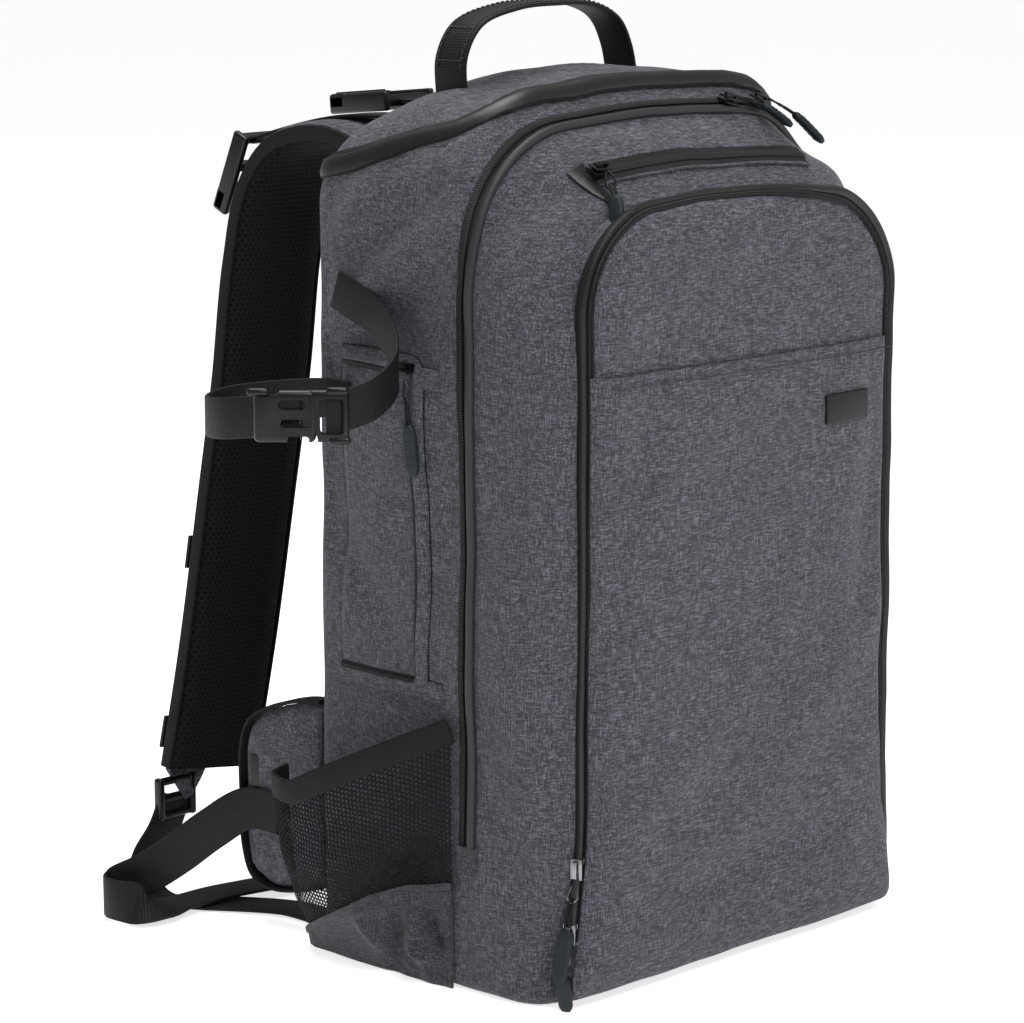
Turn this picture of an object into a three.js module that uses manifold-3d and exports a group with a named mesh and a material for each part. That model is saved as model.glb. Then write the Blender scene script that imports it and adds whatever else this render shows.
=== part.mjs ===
// Camera backpack, empty, standing on its base. Millimetres, +Z up.
// +X is to the right when the bag is seen from its front (-Y); +Y is the back panel.
// The origin is on the floor under the middle of the base.

import * as THREE from "three";
import { mergeVertices } from "three/addons/utils/BufferGeometryUtils.js";
import Module from "manifold-3d";

const wasm = await Module();
wasm.setup();

// Body and front case
const BODY_WIDTH = 308;
const BODY_HEIGHT = 500;
const BODY_DEPTH = 124;
const BACK_Y = 88;
const BODY_WALL = 6;
const CASE_DEPTH = 62;
const CASE_WALL = 4;
const REAR_CROWN = 40;
const TOP_CORNER_RADIUS = 78;
const BASE_CORNER_RADIUS = 7;

// Front pocket and the slip pocket on its face
const POCKET_WIDTH = 246;
const POCKET_TOP_DROP = 62;
const POCKET_LOW = 4;
const POCKET_RISE = 14;
const POCKET_WALL = 3;
const POCKET_CORNER_RADIUS = 54;
const POCKET_CROWN = 8;
const SLIP_POCKET_TOP = 349;
const SLIP_POCKET_THICKNESS = 2;

// Lid cut and side door
const LID_CUT_REAR_DROP = 50;
const LID_CUT_FRONT_DROP = 36;
const LID_FRONT_INSET = 14;
const LID_CUT_RADIUS = 34;
const DOOR_TOP = 348;
const DOOR_BOTTOM = 167;
const DOOR_FRONT_Y = -2;
const DOOR_WIDTH = 66;

// Zips, their sliders and pulls
const ZIP_THICKNESS = 2;
const LID_ZIP_WIDTH = 16;
const CASE_ZIP_WIDTH = 12;
const CASE_ZIP_END_Z = 80;
const POCKET_ZIP_END_Z = 38;
const POCKET_ZIP_THICKNESS = 3;
const TOP_ZIP_WIDTH = 14;
const TOP_ZIP_LENGTH = 178;
const TOP_ZIP_DROP = 44;
const DOOR_ZIP_WIDTH = 12;
const SLIDER_LENGTH = 14;
const SLIDER_WIDTH = 9;
const SLIDER_HEIGHT = 5;
const PULL_LENGTH = 58;
const PULL_WIDTH = 8;
const PULL_THICKNESS = 4;

const LABEL_WIDTH = 38;
const LABEL_HEIGHT = 17;
const LABEL_THICKNESS = 2;
const LABEL_X = 73;
const LABEL_DROP = 36;

// Webbing
const WEB_WIDTH = 25;
const WEB_THICKNESS = 2.5;
const HANDLE_SPAN = 144;
const HANDLE_RISE = 37;
const HANDLE_Y = 57;

// Net pockets on the sides
const NET_THICKNESS = 1.5;
const NET_BULGE = 42;
const NET_RIM_FRONT_Z = 156;
const NET_RIM_REAR_Z = 112;
const NET_RIM_WIDTH = 15;
const NET_RIM_FALL = 0.74;
const NET_FRONT_Y = -28;
const BOOT_FRONT_Z = 60;

// Strap on the left side that holds long things
const SIDE_STRAP_Z = 331;
const SIDE_STRAP_RADIUS = 52.5;
const SIDE_STRAP_Y = 36;
const SIDE_STRAP_WIDTH = 22.5;
const SIDE_BUCKLE_LENGTH = 54;
const SIDE_BUCKLE_HEIGHT = 30;
const SIDE_BUCKLE_THICKNESS = 8;

// Shoulder straps and load lifters
const STRAP_WIDTH = 70;
const STRAP_THICKNESS = 12;
const STRAP_ROOT_DROP = 62;
const STRAP_END_Z = 74;
const STRAP_ROOT_X = 52;
const STRAP_SPREAD = 66;
const STRAP_REACH_LEFT = 130;
const STRAP_REACH_RIGHT = 152;
const ADJUSTER_WIDTH = 28;
const ADJUSTER_HEIGHT = 26;
const ADJUSTER_THICKNESS = 7;
const ADJUSTER_OUTSET = 28;
const KEEPER_WIDTH = 20;
const KEEPER_THICKNESS = 2;
const LIFTER_WIDTH = 20;
const LIFTER_BUCKLE_WIDTH = 42;
const LIFTER_BUCKLE_LENGTH = 52;
const LIFTER_BUCKLE_THICKNESS = 12;

// Back panel and hip belt
const PAD_THICKNESS = 12;
const PAD_WIDTH = 96;
const PAD_GAP = 26;
const PAD_TOP_Z = 420;
const PAD_LOW_Z = 150;
const LUMBAR_TOP_Z = 138;
const LUMBAR_LOW_Z = 34;
const LUMBAR_WIDTH = 216;
const FIN_LENGTH = 62;
const FIN_THICKNESS = 12;
const FIN_TOP_Z = 142;
const FIN_LOW_Z = 24;
const HIP_BUCKLE_LENGTH = 62;
const HIP_BUCKLE_WIDTH = 34;
const HIP_BUCKLE_THICKNESS = 11;
const HIP_BUCKLE_X = 49;
const HIP_BUCKLE_Y = 150;

const GAP = 0.3;

// Values worked out from the sizes above
const HALF = BODY_WIDTH / 2;
const JOINT_Y = BACK_Y - BODY_DEPTH;
const FACE_Y = JOINT_Y - CASE_DEPTH;
const POCKET_TOP = BODY_HEIGHT - POCKET_TOP_DROP;
const LID_CUT_REAR_Z = BODY_HEIGHT - LID_CUT_REAR_DROP;
const LID_CUT_FRONT_Z = BODY_HEIGHT - LID_CUT_FRONT_DROP;
const TOP_ZIP_Z = BODY_HEIGHT - TOP_ZIP_DROP;
const STRAP_ROOT_Z = BODY_HEIGHT - STRAP_ROOT_DROP;
const LABEL_Z = SLIP_POCKET_TOP - LABEL_DROP;

// Body sections from the back panel to the joint with the case. along is a share of the depth,
// half of the half width, top of the height, crown of the rear crown, corner of the top corner radius.
const BODY_SECTIONS = [
  { along: 0.0, half: 0.93, top: 0.968, crown: 1.0, corner: 0.42 },
  { along: 0.03, half: 0.968, top: 0.984, crown: 1.0, corner: 0.5 },
  { along: 0.1, half: 0.986, top: 0.993, crown: 0.95, corner: 0.6 },
  { along: 0.38, half: 0.996, top: 1.0, crown: 0.7, corner: 0.85 },
  { along: 0.7, half: 1.0, top: 1.0, crown: 0.42, corner: 1.0 },
  { along: 0.87, half: 1.0, top: 0.996, crown: 0.34, corner: 1.0 },
  { along: 0.95, half: 0.998, top: 0.978, crown: 0.3, corner: 1.0 },
  { along: 1.0, half: 0.994, top: 0.963, crown: 0.3, corner: 1.0 },
];

// Case sections from the joint to the front face, in the same shares; low is a share of the height
// that the foot of the section is lifted.
const CASE_SECTIONS = [
  { along: 0.0, half: 0.994, top: 0.963, low: 0.0, corner: 1.0 },
  { along: 0.25, half: 0.99, top: 0.936, low: 0.0, corner: 1.0 },
  { along: 0.5, half: 0.982, top: 0.908, low: 0.0, corner: 1.02 },
  { along: 0.72, half: 0.952, top: 0.88, low: 0.0, corner: 1.0 },
  { along: 0.88, half: 0.885, top: 0.85, low: 0.003, corner: 0.95 },
  { along: 0.97, half: 0.81, top: 0.815, low: 0.014, corner: 0.9 },
  { along: 1.0, half: 0.75, top: 0.775, low: 0.026, corner: 0.85 },
];
const CASE_CROWN = 0.3;

// Pocket sections by height above the case's face: rise is a share of the pocket's rise, inset and
// foot are shares of it that the outline draws in at the sides and at the foot.
const POCKET_SECTIONS = [
  { rise: -1.6, inset: 0.0, foot: -0.2 },
  { rise: 0.2, inset: 0.0, foot: 0.0 },
  { rise: 0.5, inset: 0.2, foot: 1.0 },
  { rise: 0.75, inset: 0.8, foot: 3.0 },
  { rise: 0.92, inset: 2.0, foot: 6.5 },
  { rise: 1.0, inset: 4.2, foot: 12.0 },
];

// Net pocket in plan: along is a share of the way from its front edge to the back panel, out of the bulge.
const NET_PLAN = [
  { along: 0.0, out: 0.02 },
  { along: 0.14, out: 0.36 },
  { along: 0.36, out: 0.72 },
  { along: 0.6, out: 0.95 },
  { along: 0.8, out: 1.0 },
  { along: 0.94, out: 0.86 },
  { along: 1.0, out: 0.45 },
];
// Net pocket in height: up is a share of the rim's height, swell of the plan's bulge.
const NET_RISE = [
  { up: 0.0, swell: 0.1 },
  { up: 0.12, swell: 0.26 },
  { up: 0.35, swell: 0.62 },
  { up: 0.65, swell: 0.9 },
  { up: 1.0, swell: 1.0 },
];

// Shoulder straps: back is a share of how far a strap bows out, up of the height from its lower end to
// its root, side of its spread, arch of its lean at the crest.
const STRAP_ROUTE = [
  { back: 0.0, up: 1.0, side: 0.0, arch: 0.0 },
  { back: 0.2, up: 1.035, side: 0.0, arch: 0.5 },
  { back: 0.5, up: 1.062, side: 0.02, arch: 1.0 },
  { back: 0.8, up: 1.035, side: 0.08, arch: 1.0 },
  { back: 0.95, up: 0.96, side: 0.14, arch: 0.9 },
  { back: 1.0, up: 0.84, side: 0.22, arch: 0.5 },
  { back: 0.97, up: 0.65, side: 0.42, arch: 0.1 },
  { back: 0.97, up: 0.45, side: 0.62, arch: 0.0 },
  { back: 0.99, up: 0.22, side: 0.82, arch: 0.0 },
  { back: 1.04, up: 0.0, side: 1.0, arch: 0.0 },
];
const STRAP_SIDES = [
  { name: "left", side: -1, reach: STRAP_REACH_LEFT, lean: 0.0, buckleSeat: 0.43, buckleTilt: 1.15 },
  { name: "right", side: 1, reach: STRAP_REACH_RIGHT, lean: -0.4, buckleSeat: 0.34, buckleTilt: 0.1 },
];
const KEEPERS = [
  { name: "upper", up: 0.36 },
  { name: "lower", up: 0.06 },
];

// Side strap: out is how far it stands off the side and along its place beside the loop's middle, as
// shares of the loop's radius; lift is a share of the webbing's width.
const SIDE_STRAP_MIDDLE = { out: 0.914, along: 0 };
const SIDE_STRAP_FRONT = [
  { out: 0.0, along: 0.5, lift: 2.16 },
  { out: 0.02, along: -0.1, lift: 1.68 },
  { out: 0.2, along: -0.6, lift: 1.1 },
  { out: 0.44, along: -0.87, lift: 0.62 },
  { out: 0.88, along: -1.0, lift: 0.24 },
  { out: 1.3, along: -0.93, lift: 0.04 },
];
const SIDE_STRAP_REAR = [
  { out: 1.84, along: -0.37, lift: -0.04 },
  { out: 1.9, along: 0.17, lift: -0.2 },
  { out: 1.62, along: 0.71, lift: -0.32 },
  { out: 1.09, along: 0.98, lift: -0.32 },
  { out: 0.27, along: 0.86, lift: -0.32 },
  { out: 0.0, along: 0.62, lift: -0.32 },
  { out: 0.0, along: 0.3, lift: -0.32 },
];
const SIDE_BUCKLE_FACING = 225;

// Hip webbing from the fin to the buckle: out is how far it stands outside the fin and back how far
// behind its end, as shares of the fin's length; up is a share of the fin's top; flat is 1 where it lies.
const HIP_WEB_LEFT = [
  { out: 0.04, back: -0.55, up: 0.51, flat: 0 },
  { out: 0.06, back: -0.13, up: 0.5, flat: 0 },
  { out: 0.24, back: 0.18, up: 0.4, flat: 0 },
  { out: 0.42, back: 0.48, up: 0.28, flat: 0 },
  { out: 0.58, back: 0.8, up: 0.175, flat: 0 },
  { out: 0.73, back: 1.03, up: 0.115, flat: 0 },
  { out: 0.88, back: 1.0, up: 0.1, flat: 0 },
  { out: 0.93, back: 0.8, up: 0.1, flat: 0 },
  { out: 0.83, back: 0.63, up: 0.092, flat: 0.25 },
  { out: 0.62, back: 0.57, up: 0.06, flat: 0.75 },
  { out: 0.3, back: 0.63, up: 0.04, flat: 1 },
  { out: -0.24, back: 0.62, up: 0.04, flat: 1 },
  { out: -1.04, back: 0.44, up: 0.04, flat: 1 },
  { out: -2.0, back: 0.12, up: 0.04, flat: 1 },
];
const HIP_WEB_RIGHT = [
  { out: 0.04, back: -0.55, up: 0.53, flat: 0 },
  { out: 0.06, back: -0.13, up: 0.53, flat: 0 },
  { out: 0.2, back: 0.3, up: 0.43, flat: 0 },
  { out: 0.12, back: 0.78, up: 0.26, flat: 0.3 },
  { out: -0.3, back: 0.82, up: 0.08, flat: 1 },
  { out: -0.8, back: 0.4, up: 0.04, flat: 1 },
];

// Webbing below a shoulder strap: out and back are shares of the adjuster's width from its place, up a
// share of its height over the floor. The rows of the foot lie from there to the foot of the bag: out is
// how far inside the bag's side, back and up how far from its back panel and the floor, in web widths.
const STRAP_WEB = [
  { out: 0.0, back: 0.0, up: 1.0 },
  { out: 0.3, back: 0.04, up: 0.68 },
  { out: 0.72, back: 0.1, up: 0.4 },
  { out: 0.86, back: 0.1, up: 0.2 },
  { out: 0.86, back: -0.1, up: 0.06 },
  { out: 0.8, back: -0.5, up: 0.0 },
  { out: 0.3, back: -1.2, up: 0.0 },
];
const STRAP_WEB_FOOT = [
  { out: 1.2, back: 2.24, up: 0 },
  { out: 1.36, back: 0.8, up: 0 },
  { out: 1.36, back: 0.2, up: 0.2 },
  { out: 1.36, back: 0.02, up: 0.48 },
];

// Sliders on the case zip: across is a share of the half width, reach how far the pull runs on along the
// zip rather than down the case's top.
const CASE_SLIDERS = [
  { name: "case_a", across: 0.36, reach: 0.5 },
  { name: "case_b", across: 0.53, reach: 0.62 },
];
// Sliders at the lower end of the pocket zip: over is the height above that end, ahead the way in front of
// the case's face; the pull's rows give how far out, ahead and down it hangs.
const POCKET_SLIDERS = [
  {
    name: "pocket_a",
    over: 40,
    ahead: 0.5,
    pull: [
      { out: 0, ahead: 0, down: 0 },
      { out: 3, ahead: 4, down: 18 },
      { out: 4, ahead: 8.4, down: 34 },
      { out: 4, ahead: 8.8, down: 57 },
    ],
  },
  {
    name: "pocket_b",
    over: 4,
    ahead: -2,
    pull: [
      { out: 0, ahead: 0, down: 0 },
      { out: 2.5, ahead: 1, down: 12 },
      { out: 8.5, ahead: 6.5, down: 29 },
    ],
  },
];
// The top pocket's pull: side and down are shares of its length, away from the slider.
const TOP_PULL_ROUTE = [
  { side: 0.0, down: 0.1 },
  { side: 0.25, down: 0.35 },
  { side: 0.36, down: 0.66 },
];
// A pull from its slider to its tip: wide and thick are shares of the grip's.
const PULL_PROFILE = [
  { along: 0.0, wide: 0.45, thick: 0.6 },
  { along: 0.48, wide: 0.4, thick: 0.6 },
  { along: 0.54, wide: 0.8, thick: 1.0 },
  { along: 0.62, wide: 1.0, thick: 1.0 },
  { along: 0.94, wide: 1.0, thick: 1.0 },
  { along: 1.0, wide: 0.6, thick: 0.7 },
];

const FABRIC = { color: 0x5c5c62, roughness: 0.95, metalness: 0 };
const ZIP = { color: 0x343436, roughness: 0.6, metalness: 0 };
const WEBBING = { color: 0x1d1e20, roughness: 0.85, metalness: 0 };
const NET = { color: 0x161618, roughness: 0.95, metalness: 0 };
const RUBBER = { color: 0x1d2528, roughness: 0.6, metalness: 0 };
const PLASTIC = { color: 0x18191b, roughness: 0.45, metalness: 0 };
const METAL = { color: 0x8a8a8e, roughness: 0.3, metalness: 0.9 };

const backpack = new THREE.Group();

// Solids and meshes

function solidOf(geometry) {
  const bare = geometry.clone();
  bare.deleteAttribute("normal");
  bare.deleteAttribute("uv");
  const merged = mergeVertices(bare, 1e-4);
  return new wasm.Manifold(
    new wasm.Mesh({
      numProp: 3,
      vertProperties: new Float32Array(merged.attributes.position.array),
      triVerts: new Uint32Array(merged.index.array),
    }),
  );
}

function add(name, solid, finish) {
  const { vertProperties, triVerts } = solid.getMesh();
  const geometry = new THREE.BufferGeometry();
  geometry.setAttribute("position", new THREE.BufferAttribute(vertProperties, 3));
  geometry.setIndex(new THREE.BufferAttribute(triVerts, 1));
  geometry.computeVertexNormals();
  const mesh = new THREE.Mesh(geometry, new THREE.MeshStandardMaterial(finish));
  mesh.name = name;
  backpack.add(mesh);
}

// A closed skin through rings of equal length, with a flat cap at each end.
function loft(rings) {
  const size = rings[0].length;
  const position = rings.flat().flatMap((p) => [p.x, p.y, p.z]);
  const index = [];
  for (let r = 0; r + 1 < rings.length; r++) {
    for (let i = 0; i < size; i++) {
      const a = r * size + i;
      const b = r * size + ((i + 1) % size);
      index.push(a, b, b + size, a, b + size, a + size);
    }
  }
  const last = (rings.length - 1) * size;
  const flat = flattened(rings[0]);
  for (const [a, b, c] of THREE.ShapeUtils.triangulateShape(flat, [])) index.push(c, b, a);
  const flatLast = flattened(rings[rings.length - 1]);
  for (const [a, b, c] of THREE.ShapeUtils.triangulateShape(flatLast, [])) {
    index.push(last + a, last + b, last + c);
  }
  const geometry = new THREE.BufferGeometry();
  geometry.setAttribute("position", new THREE.Float32BufferAttribute(position, 3));
  geometry.setIndex(index);
  const solid = solidOf(geometry);
  if (solid.volume() > 0) return solid;
  geometry.setIndex(index.reverse());
  return solidOf(geometry);
}

// A ring's points in its own plane, in the order that makes its caps face the way its sides do.
function flattened(ring) {
  const centre = ring.reduce((sum, p) => sum.add(p), new THREE.Vector3()).divideScalar(ring.length);
  const normal = new THREE.Vector3();
  ring.forEach((p, i) => {
    const next = ring[(i + 1) % ring.length];
    normal.add(p.clone().sub(centre).cross(next.clone().sub(centre)));
  });
  normal.normalize();
  const u = ring[0].clone().sub(centre);
  u.addScaledVector(normal, -u.dot(normal)).normalize();
  const v = normal.clone().cross(u);
  return ring.map((p) => {
    const q = p.clone().sub(centre);
    return new THREE.Vector2(q.dot(u), q.dot(v));
  });
}

// A prism along X from a closed outline of [y, z] points.
function prismX(points, x0, x1) {
  const ring = (x) => points.map(([y, z]) => new THREE.Vector3(x, y, z));
  return loft([ring(x0), ring(x1)]);
}

function box(x0, x1, y0, y1, z0, z1) {
  const geometry = new THREE.BoxGeometry(x1 - x0, y1 - y0, z1 - z0);
  geometry.translate((x0 + x1) / 2, (y0 + y1) / 2, (z0 + z1) / 2);
  return solidOf(geometry);
}

function arc(cx, cz, radius, from, to, steps) {
  const points = [];
  for (let i = 0; i <= steps; i++) {
    const angle = from + ((to - from) * i) / steps;
    points.push([cx + radius * Math.cos(angle), cz + radius * Math.sin(angle)]);
  }
  return points;
}

// Cross outline of the bag: flat base with small corners, upright sides, round shoulders, crowned top.
function bagOutline({ half, low, top, crown, corner, foot }, grow) {
  const { crownRadius, crownZ, cornerX, cornerZ } = shoulders({ half, top, crown, corner });
  const turn = Math.atan2(cornerZ - crownZ, cornerX);
  const footRadius = Math.max(foot + grow.side, GAP);
  const right = [
    ...arc(half + grow.side - footRadius, low - grow.side + footRadius, footRadius, -Math.PI / 2, 0, 3),
    ...arc(cornerX, cornerZ, corner + grow.side, 0, turn, 5),
    ...arc(0, crownZ, crownRadius + grow.side, turn, Math.PI / 2, 5).slice(1, -1),
  ];
  const lift = (z) => (grow.top - grow.side) * Math.max(0, (z - cornerZ) / (top - cornerZ));
  const raise = ([x, z]) => [x, z + lift(z)];
  const left = right.map(([x, z]) => [-x, z]).reverse();
  const apex = [0, top + grow.side];
  return [...right, apex, ...left].map(raise);
}

// How much a section grows at its side and its top so that the skin moves out by grow along its normal.
function growth(rows, i, grow) {
  const a = rows[Math.max(i - 1, 0)];
  const b = rows[Math.min(i + 1, rows.length - 1)];
  const run = Math.abs(b.y - a.y);
  const lean = (from, to) => Math.min(1.6, Math.hypot(1, (to - from) / run));
  return { side: grow * lean(a.half, b.half), top: grow * lean(a.top, b.top) };
}

function bagLoft(rows, grow, startGrow, endGrow) {
  const rings = rows.map((row, i) => {
    const first = i === 0 ? startGrow : 0;
    const last = i === rows.length - 1 ? endGrow : 0;
    const outline = bagOutline(row, growth(rows, i, grow));
    return outline.map(([x, z]) => new THREE.Vector3(x, row.y + first - last, z));
  });
  return loft(rings);
}

const bodyRows = BODY_SECTIONS.map((s) => ({
  y: BACK_Y - s.along * BODY_DEPTH,
  half: s.half * HALF,
  low: 0,
  top: s.top * BODY_HEIGHT,
  crown: s.crown * REAR_CROWN,
  corner: s.corner * TOP_CORNER_RADIUS,
  foot: BASE_CORNER_RADIUS,
}));
const caseRows = CASE_SECTIONS.map((s) => ({
  y: JOINT_Y - s.along * CASE_DEPTH,
  half: s.half * HALF,
  low: s.low * BODY_HEIGHT,
  top: s.top * BODY_HEIGHT,
  crown: CASE_CROWN * REAR_CROWN,
  corner: s.corner * TOP_CORNER_RADIUS,
  foot: BASE_CORNER_RADIUS,
}));

// The body's outside moved out by grow; the case's outside likewise, open-ended at the joint.
const bodySkin = (grow) => bagLoft(bodyRows, grow, grow, 0);
const caseSkin = (grow) => bagLoft(caseRows, grow, 0, grow);
const bagSkin = (grow) => bodySkin(grow).add(caseSkin(grow));

// The bag's section at a given y, between its rows.
function rowAt(y) {
  const rows = [...bodyRows, ...caseRows.slice(1)];
  const i = THREE.MathUtils.clamp(rows.findIndex((row) => row.y <= y), 1, rows.length - 1);
  const [a, b] = [rows[i - 1], rows[i]];
  const t = (a.y - y) / (a.y - b.y);
  const row = {};
  for (const key of ["half", "low", "top", "crown", "corner", "foot"]) {
    row[key] = THREE.MathUtils.lerp(a[key], b[key], t);
  }
  return row;
}

function shoulders({ half, top, crown, corner }) {
  const crownRadius = (half * half + crown * crown) / (2 * crown);
  const crownZ = top - crownRadius;
  const cornerX = half - corner;
  const cornerZ = crownZ + Math.sqrt((crownRadius - corner) ** 2 - cornerX ** 2);
  return { crownRadius, crownZ, cornerX, cornerZ };
}

// Height of the bag's top over a place, and half its width at a height.
function skinZ(x, y) {
  const row = rowAt(y);
  const { crownRadius, crownZ, cornerX, cornerZ } = shoulders(row);
  const onCrown = crownZ + Math.sqrt(crownRadius ** 2 - x * x);
  if (Math.abs(x) <= cornerX) return onCrown;
  return Math.min(onCrown, cornerZ + Math.sqrt(Math.max(0, row.corner ** 2 - (Math.abs(x) - cornerX) ** 2)));
}

function skinX(y, z) {
  const row = rowAt(y);
  const { cornerX, cornerZ } = shoulders(row);
  if (z <= cornerZ) return row.half;
  return cornerX + Math.sqrt(Math.max(0, row.corner ** 2 - (z - cornerZ) ** 2));
}

const topZ = (y) => rowAt(y).top;

// Band of the given width along a line of [y, z] points.
function bandOutline(line, width) {
  const side = (sign) =>
    line.map(([y, z], i) => {
      const [y0, z0] = line[Math.max(i - 1, 0)];
      const [y1, z1] = line[Math.min(i + 1, line.length - 1)];
      const run = Math.hypot(y1 - y0, z1 - z0);
      return [y - (sign * width * (z1 - z0)) / run / 2, z + (sign * width * (y1 - y0)) / run / 2];
    });
  return [...side(1), ...side(-1).reverse()];
}

// The lid's cut, seen from the side: up from the rear, round a small corner and over the front.
const lidFrontY = JOINT_Y + LID_FRONT_INSET;
function lidLine(beyond) {
  const slope = (LID_CUT_FRONT_Z - LID_CUT_REAR_Z) / (BACK_Y - lidFrontY - LID_CUT_RADIUS);
  const rear = BACK_Y + beyond;
  const turnY = lidFrontY + LID_CUT_RADIUS;
  const corner = arc(turnY, LID_CUT_FRONT_Z + LID_CUT_RADIUS, LID_CUT_RADIUS, -Math.PI / 2, -Math.PI, 4);
  return [[rear, LID_CUT_REAR_Z - slope * beyond], ...corner, [lidFrontY, BODY_HEIGHT + beyond]];
}

function lidPrism(clear) {
  const line = lidLine(HALF / 4).map(([y, z]) => [y - clear, z - clear]);
  const rear = line[0][0];
  return prismX([...line, [rear, line[line.length - 1][1]]], -BODY_WIDTH, BODY_WIDTH);
}

// The body's wall: a hollow skin, closed at the back and at the divider to the case.
function bodyWall() {
  return bodySkin(0).subtract(bagLoft(bodyRows, -BODY_WALL, -BODY_WALL, -BODY_WALL));
}

function doorPrism(grow) {
  const y0 = DOOR_FRONT_Y - grow;
  const y1 = DOOR_FRONT_Y + DOOR_WIDTH + grow;
  return box(-BODY_WIDTH, -HALF / 2, y0, y1, DOOR_BOTTOM - grow, DOOR_TOP + grow);
}

function addBody() {
  const wall = bodyWall();
  add("main_shell", wall.subtract(lidPrism(GAP)).subtract(doorPrism(0)), FABRIC);
  add("lid", wall.intersect(lidPrism(0)), FABRIC);
  add("side_door", wall.intersect(doorPrism(-GAP)), FABRIC);
  const hollow = bagLoft(caseRows, -CASE_WALL, CASE_WALL, -CASE_WALL);
  const behind = box(-BODY_WIDTH, BODY_WIDTH, JOINT_Y - GAP, BACK_Y, -BODY_HEIGHT, 2 * BODY_HEIGHT);
  add("front_case", caseSkin(0).subtract(hollow).subtract(behind), FABRIC);
}

// The pocket's outside, its sides moved out by grow; its back reaches into the case's face.
function pocketLoft(grow, rows) {
  const rings = rows.map(({ rise, inset, foot }) => {
    const row = {
      half: POCKET_WIDTH / 2 - inset * POCKET_RISE,
      low: POCKET_LOW + foot * POCKET_RISE,
      top: POCKET_TOP - inset * POCKET_RISE,
      crown: POCKET_CROWN,
      corner: POCKET_CORNER_RADIUS,
      foot: BASE_CORNER_RADIUS,
    };
    const y = FACE_Y - rise * POCKET_RISE - (rise > 0 ? grow : 0);
    return bagOutline(row, { side: grow, top: grow }).map(([x, z]) => new THREE.Vector3(x, y, z));
  });
  return loft(rings);
}

function addFrontPocket() {
  const clearCase = bagSkin(GAP);
  const outside = pocketLoft(0, POCKET_SECTIONS);
  const pocket = outside.subtract(clearCase).subtract(pocketLoft(-POCKET_WALL, POCKET_SECTIONS));
  add("front_pocket", pocket, FABRIC);

  const faceY = FACE_Y - 0.4 * POCKET_RISE;
  const lower = box(-HALF, HALF, faceY - HALF, faceY, POCKET_LOW + BASE_CORNER_RADIUS, SLIP_POCKET_TOP);
  const shell = pocketLoft(GAP + SLIP_POCKET_THICKNESS, POCKET_SECTIONS);
  const slip = shell.subtract(pocketLoft(GAP, POCKET_SECTIONS));
  add("slip_pocket", slip.intersect(lower), FABRIC);

  const flank = POCKET_SECTIONS.slice(0, 2);
  const ring = pocketLoft(POCKET_ZIP_THICKNESS, flank).subtract(pocketLoft(GAP, POCKET_SECTIONS));
  const above = box(-HALF, HALF, FACE_Y - 0.4 * POCKET_RISE, 0, POCKET_ZIP_END_Z, BODY_HEIGHT);
  add("pocket_zip", ring.intersect(above).subtract(clearCase), ZIP);
}

// The skin that a zip on the bag's surface takes.
const zipSkin = () => bagSkin(ZIP_THICKNESS).subtract(bagSkin(GAP));

const slopeAt = (y, step) => Math.atan2(topZ(y + step) - topZ(y - step), 2 * step);
const topZipY = (() => {
  let y = JOINT_Y;
  while (topZ(y) > TOP_ZIP_Z && y > FACE_Y) y -= 1;
  return y;
})();

function addZips() {
  const skin = zipSkin();
  const lidBand = prismX(bandOutline(lidLine(HALF / 4), LID_ZIP_WIDTH), -BODY_WIDTH, BODY_WIDTH);
  const behind = box(-BODY_WIDTH, BODY_WIDTH, BACK_Y - BODY_DEPTH * 0.03, 2 * BACK_Y, 0, 2 * BODY_HEIGHT);
  add("lid_zip", skin.intersect(lidBand).subtract(behind), ZIP);

  const caseHalf = CASE_ZIP_WIDTH / 2;
  const [caseY0, caseY1] = [JOINT_Y - caseHalf, JOINT_Y + caseHalf];
  const caseBand = box(-BODY_WIDTH, BODY_WIDTH, caseY0, caseY1, CASE_ZIP_END_Z, BODY_HEIGHT * 2);
  const lidEdge = prismX(bandOutline(lidLine(HALF / 4), LID_ZIP_WIDTH + 2 * GAP), -BODY_WIDTH, BODY_WIDTH);
  add("case_zip", skin.intersect(caseBand).subtract(lidEdge), ZIP);

  const lean = slopeAt(topZipY, 2);
  const along = (offset) => [topZipY - offset * Math.cos(lean), TOP_ZIP_Z - offset * Math.sin(lean)];
  const across = (point, offset) => [point[0] - offset * Math.sin(lean), point[1] + offset * Math.cos(lean)];
  const halfWidth = TOP_ZIP_WIDTH / 2;
  const deep = 3 * TOP_ZIP_WIDTH;
  const corners = [
    across(along(-halfWidth), -deep),
    across(along(halfWidth), -deep),
    across(along(halfWidth), deep),
    across(along(-halfWidth), deep),
  ];
  const topBand = prismX(corners, -TOP_ZIP_LENGTH / 2, TOP_ZIP_LENGTH / 2);
  const high = box(-BODY_WIDTH, BODY_WIDTH, FACE_Y, caseY0 - GAP, TOP_ZIP_Z - deep / 2, BODY_HEIGHT);
  add("top_pocket_zip", skin.intersect(topBand).intersect(high), ZIP);

  const half = DOOR_ZIP_WIDTH / 2;
  const doorEnd = DOOR_FRONT_Y + DOOR_WIDTH;
  const outer = box(-BODY_WIDTH, 0, DOOR_FRONT_Y, doorEnd + half, DOOR_BOTTOM - half, DOOR_TOP + half);
  const inner = box(-BODY_WIDTH, 0, DOOR_FRONT_Y - half, doorEnd - half, DOOR_BOTTOM + half, DOOR_TOP - half);
  add("side_door_zip", skin.intersect(outer.subtract(inner)), ZIP);
}

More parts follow.
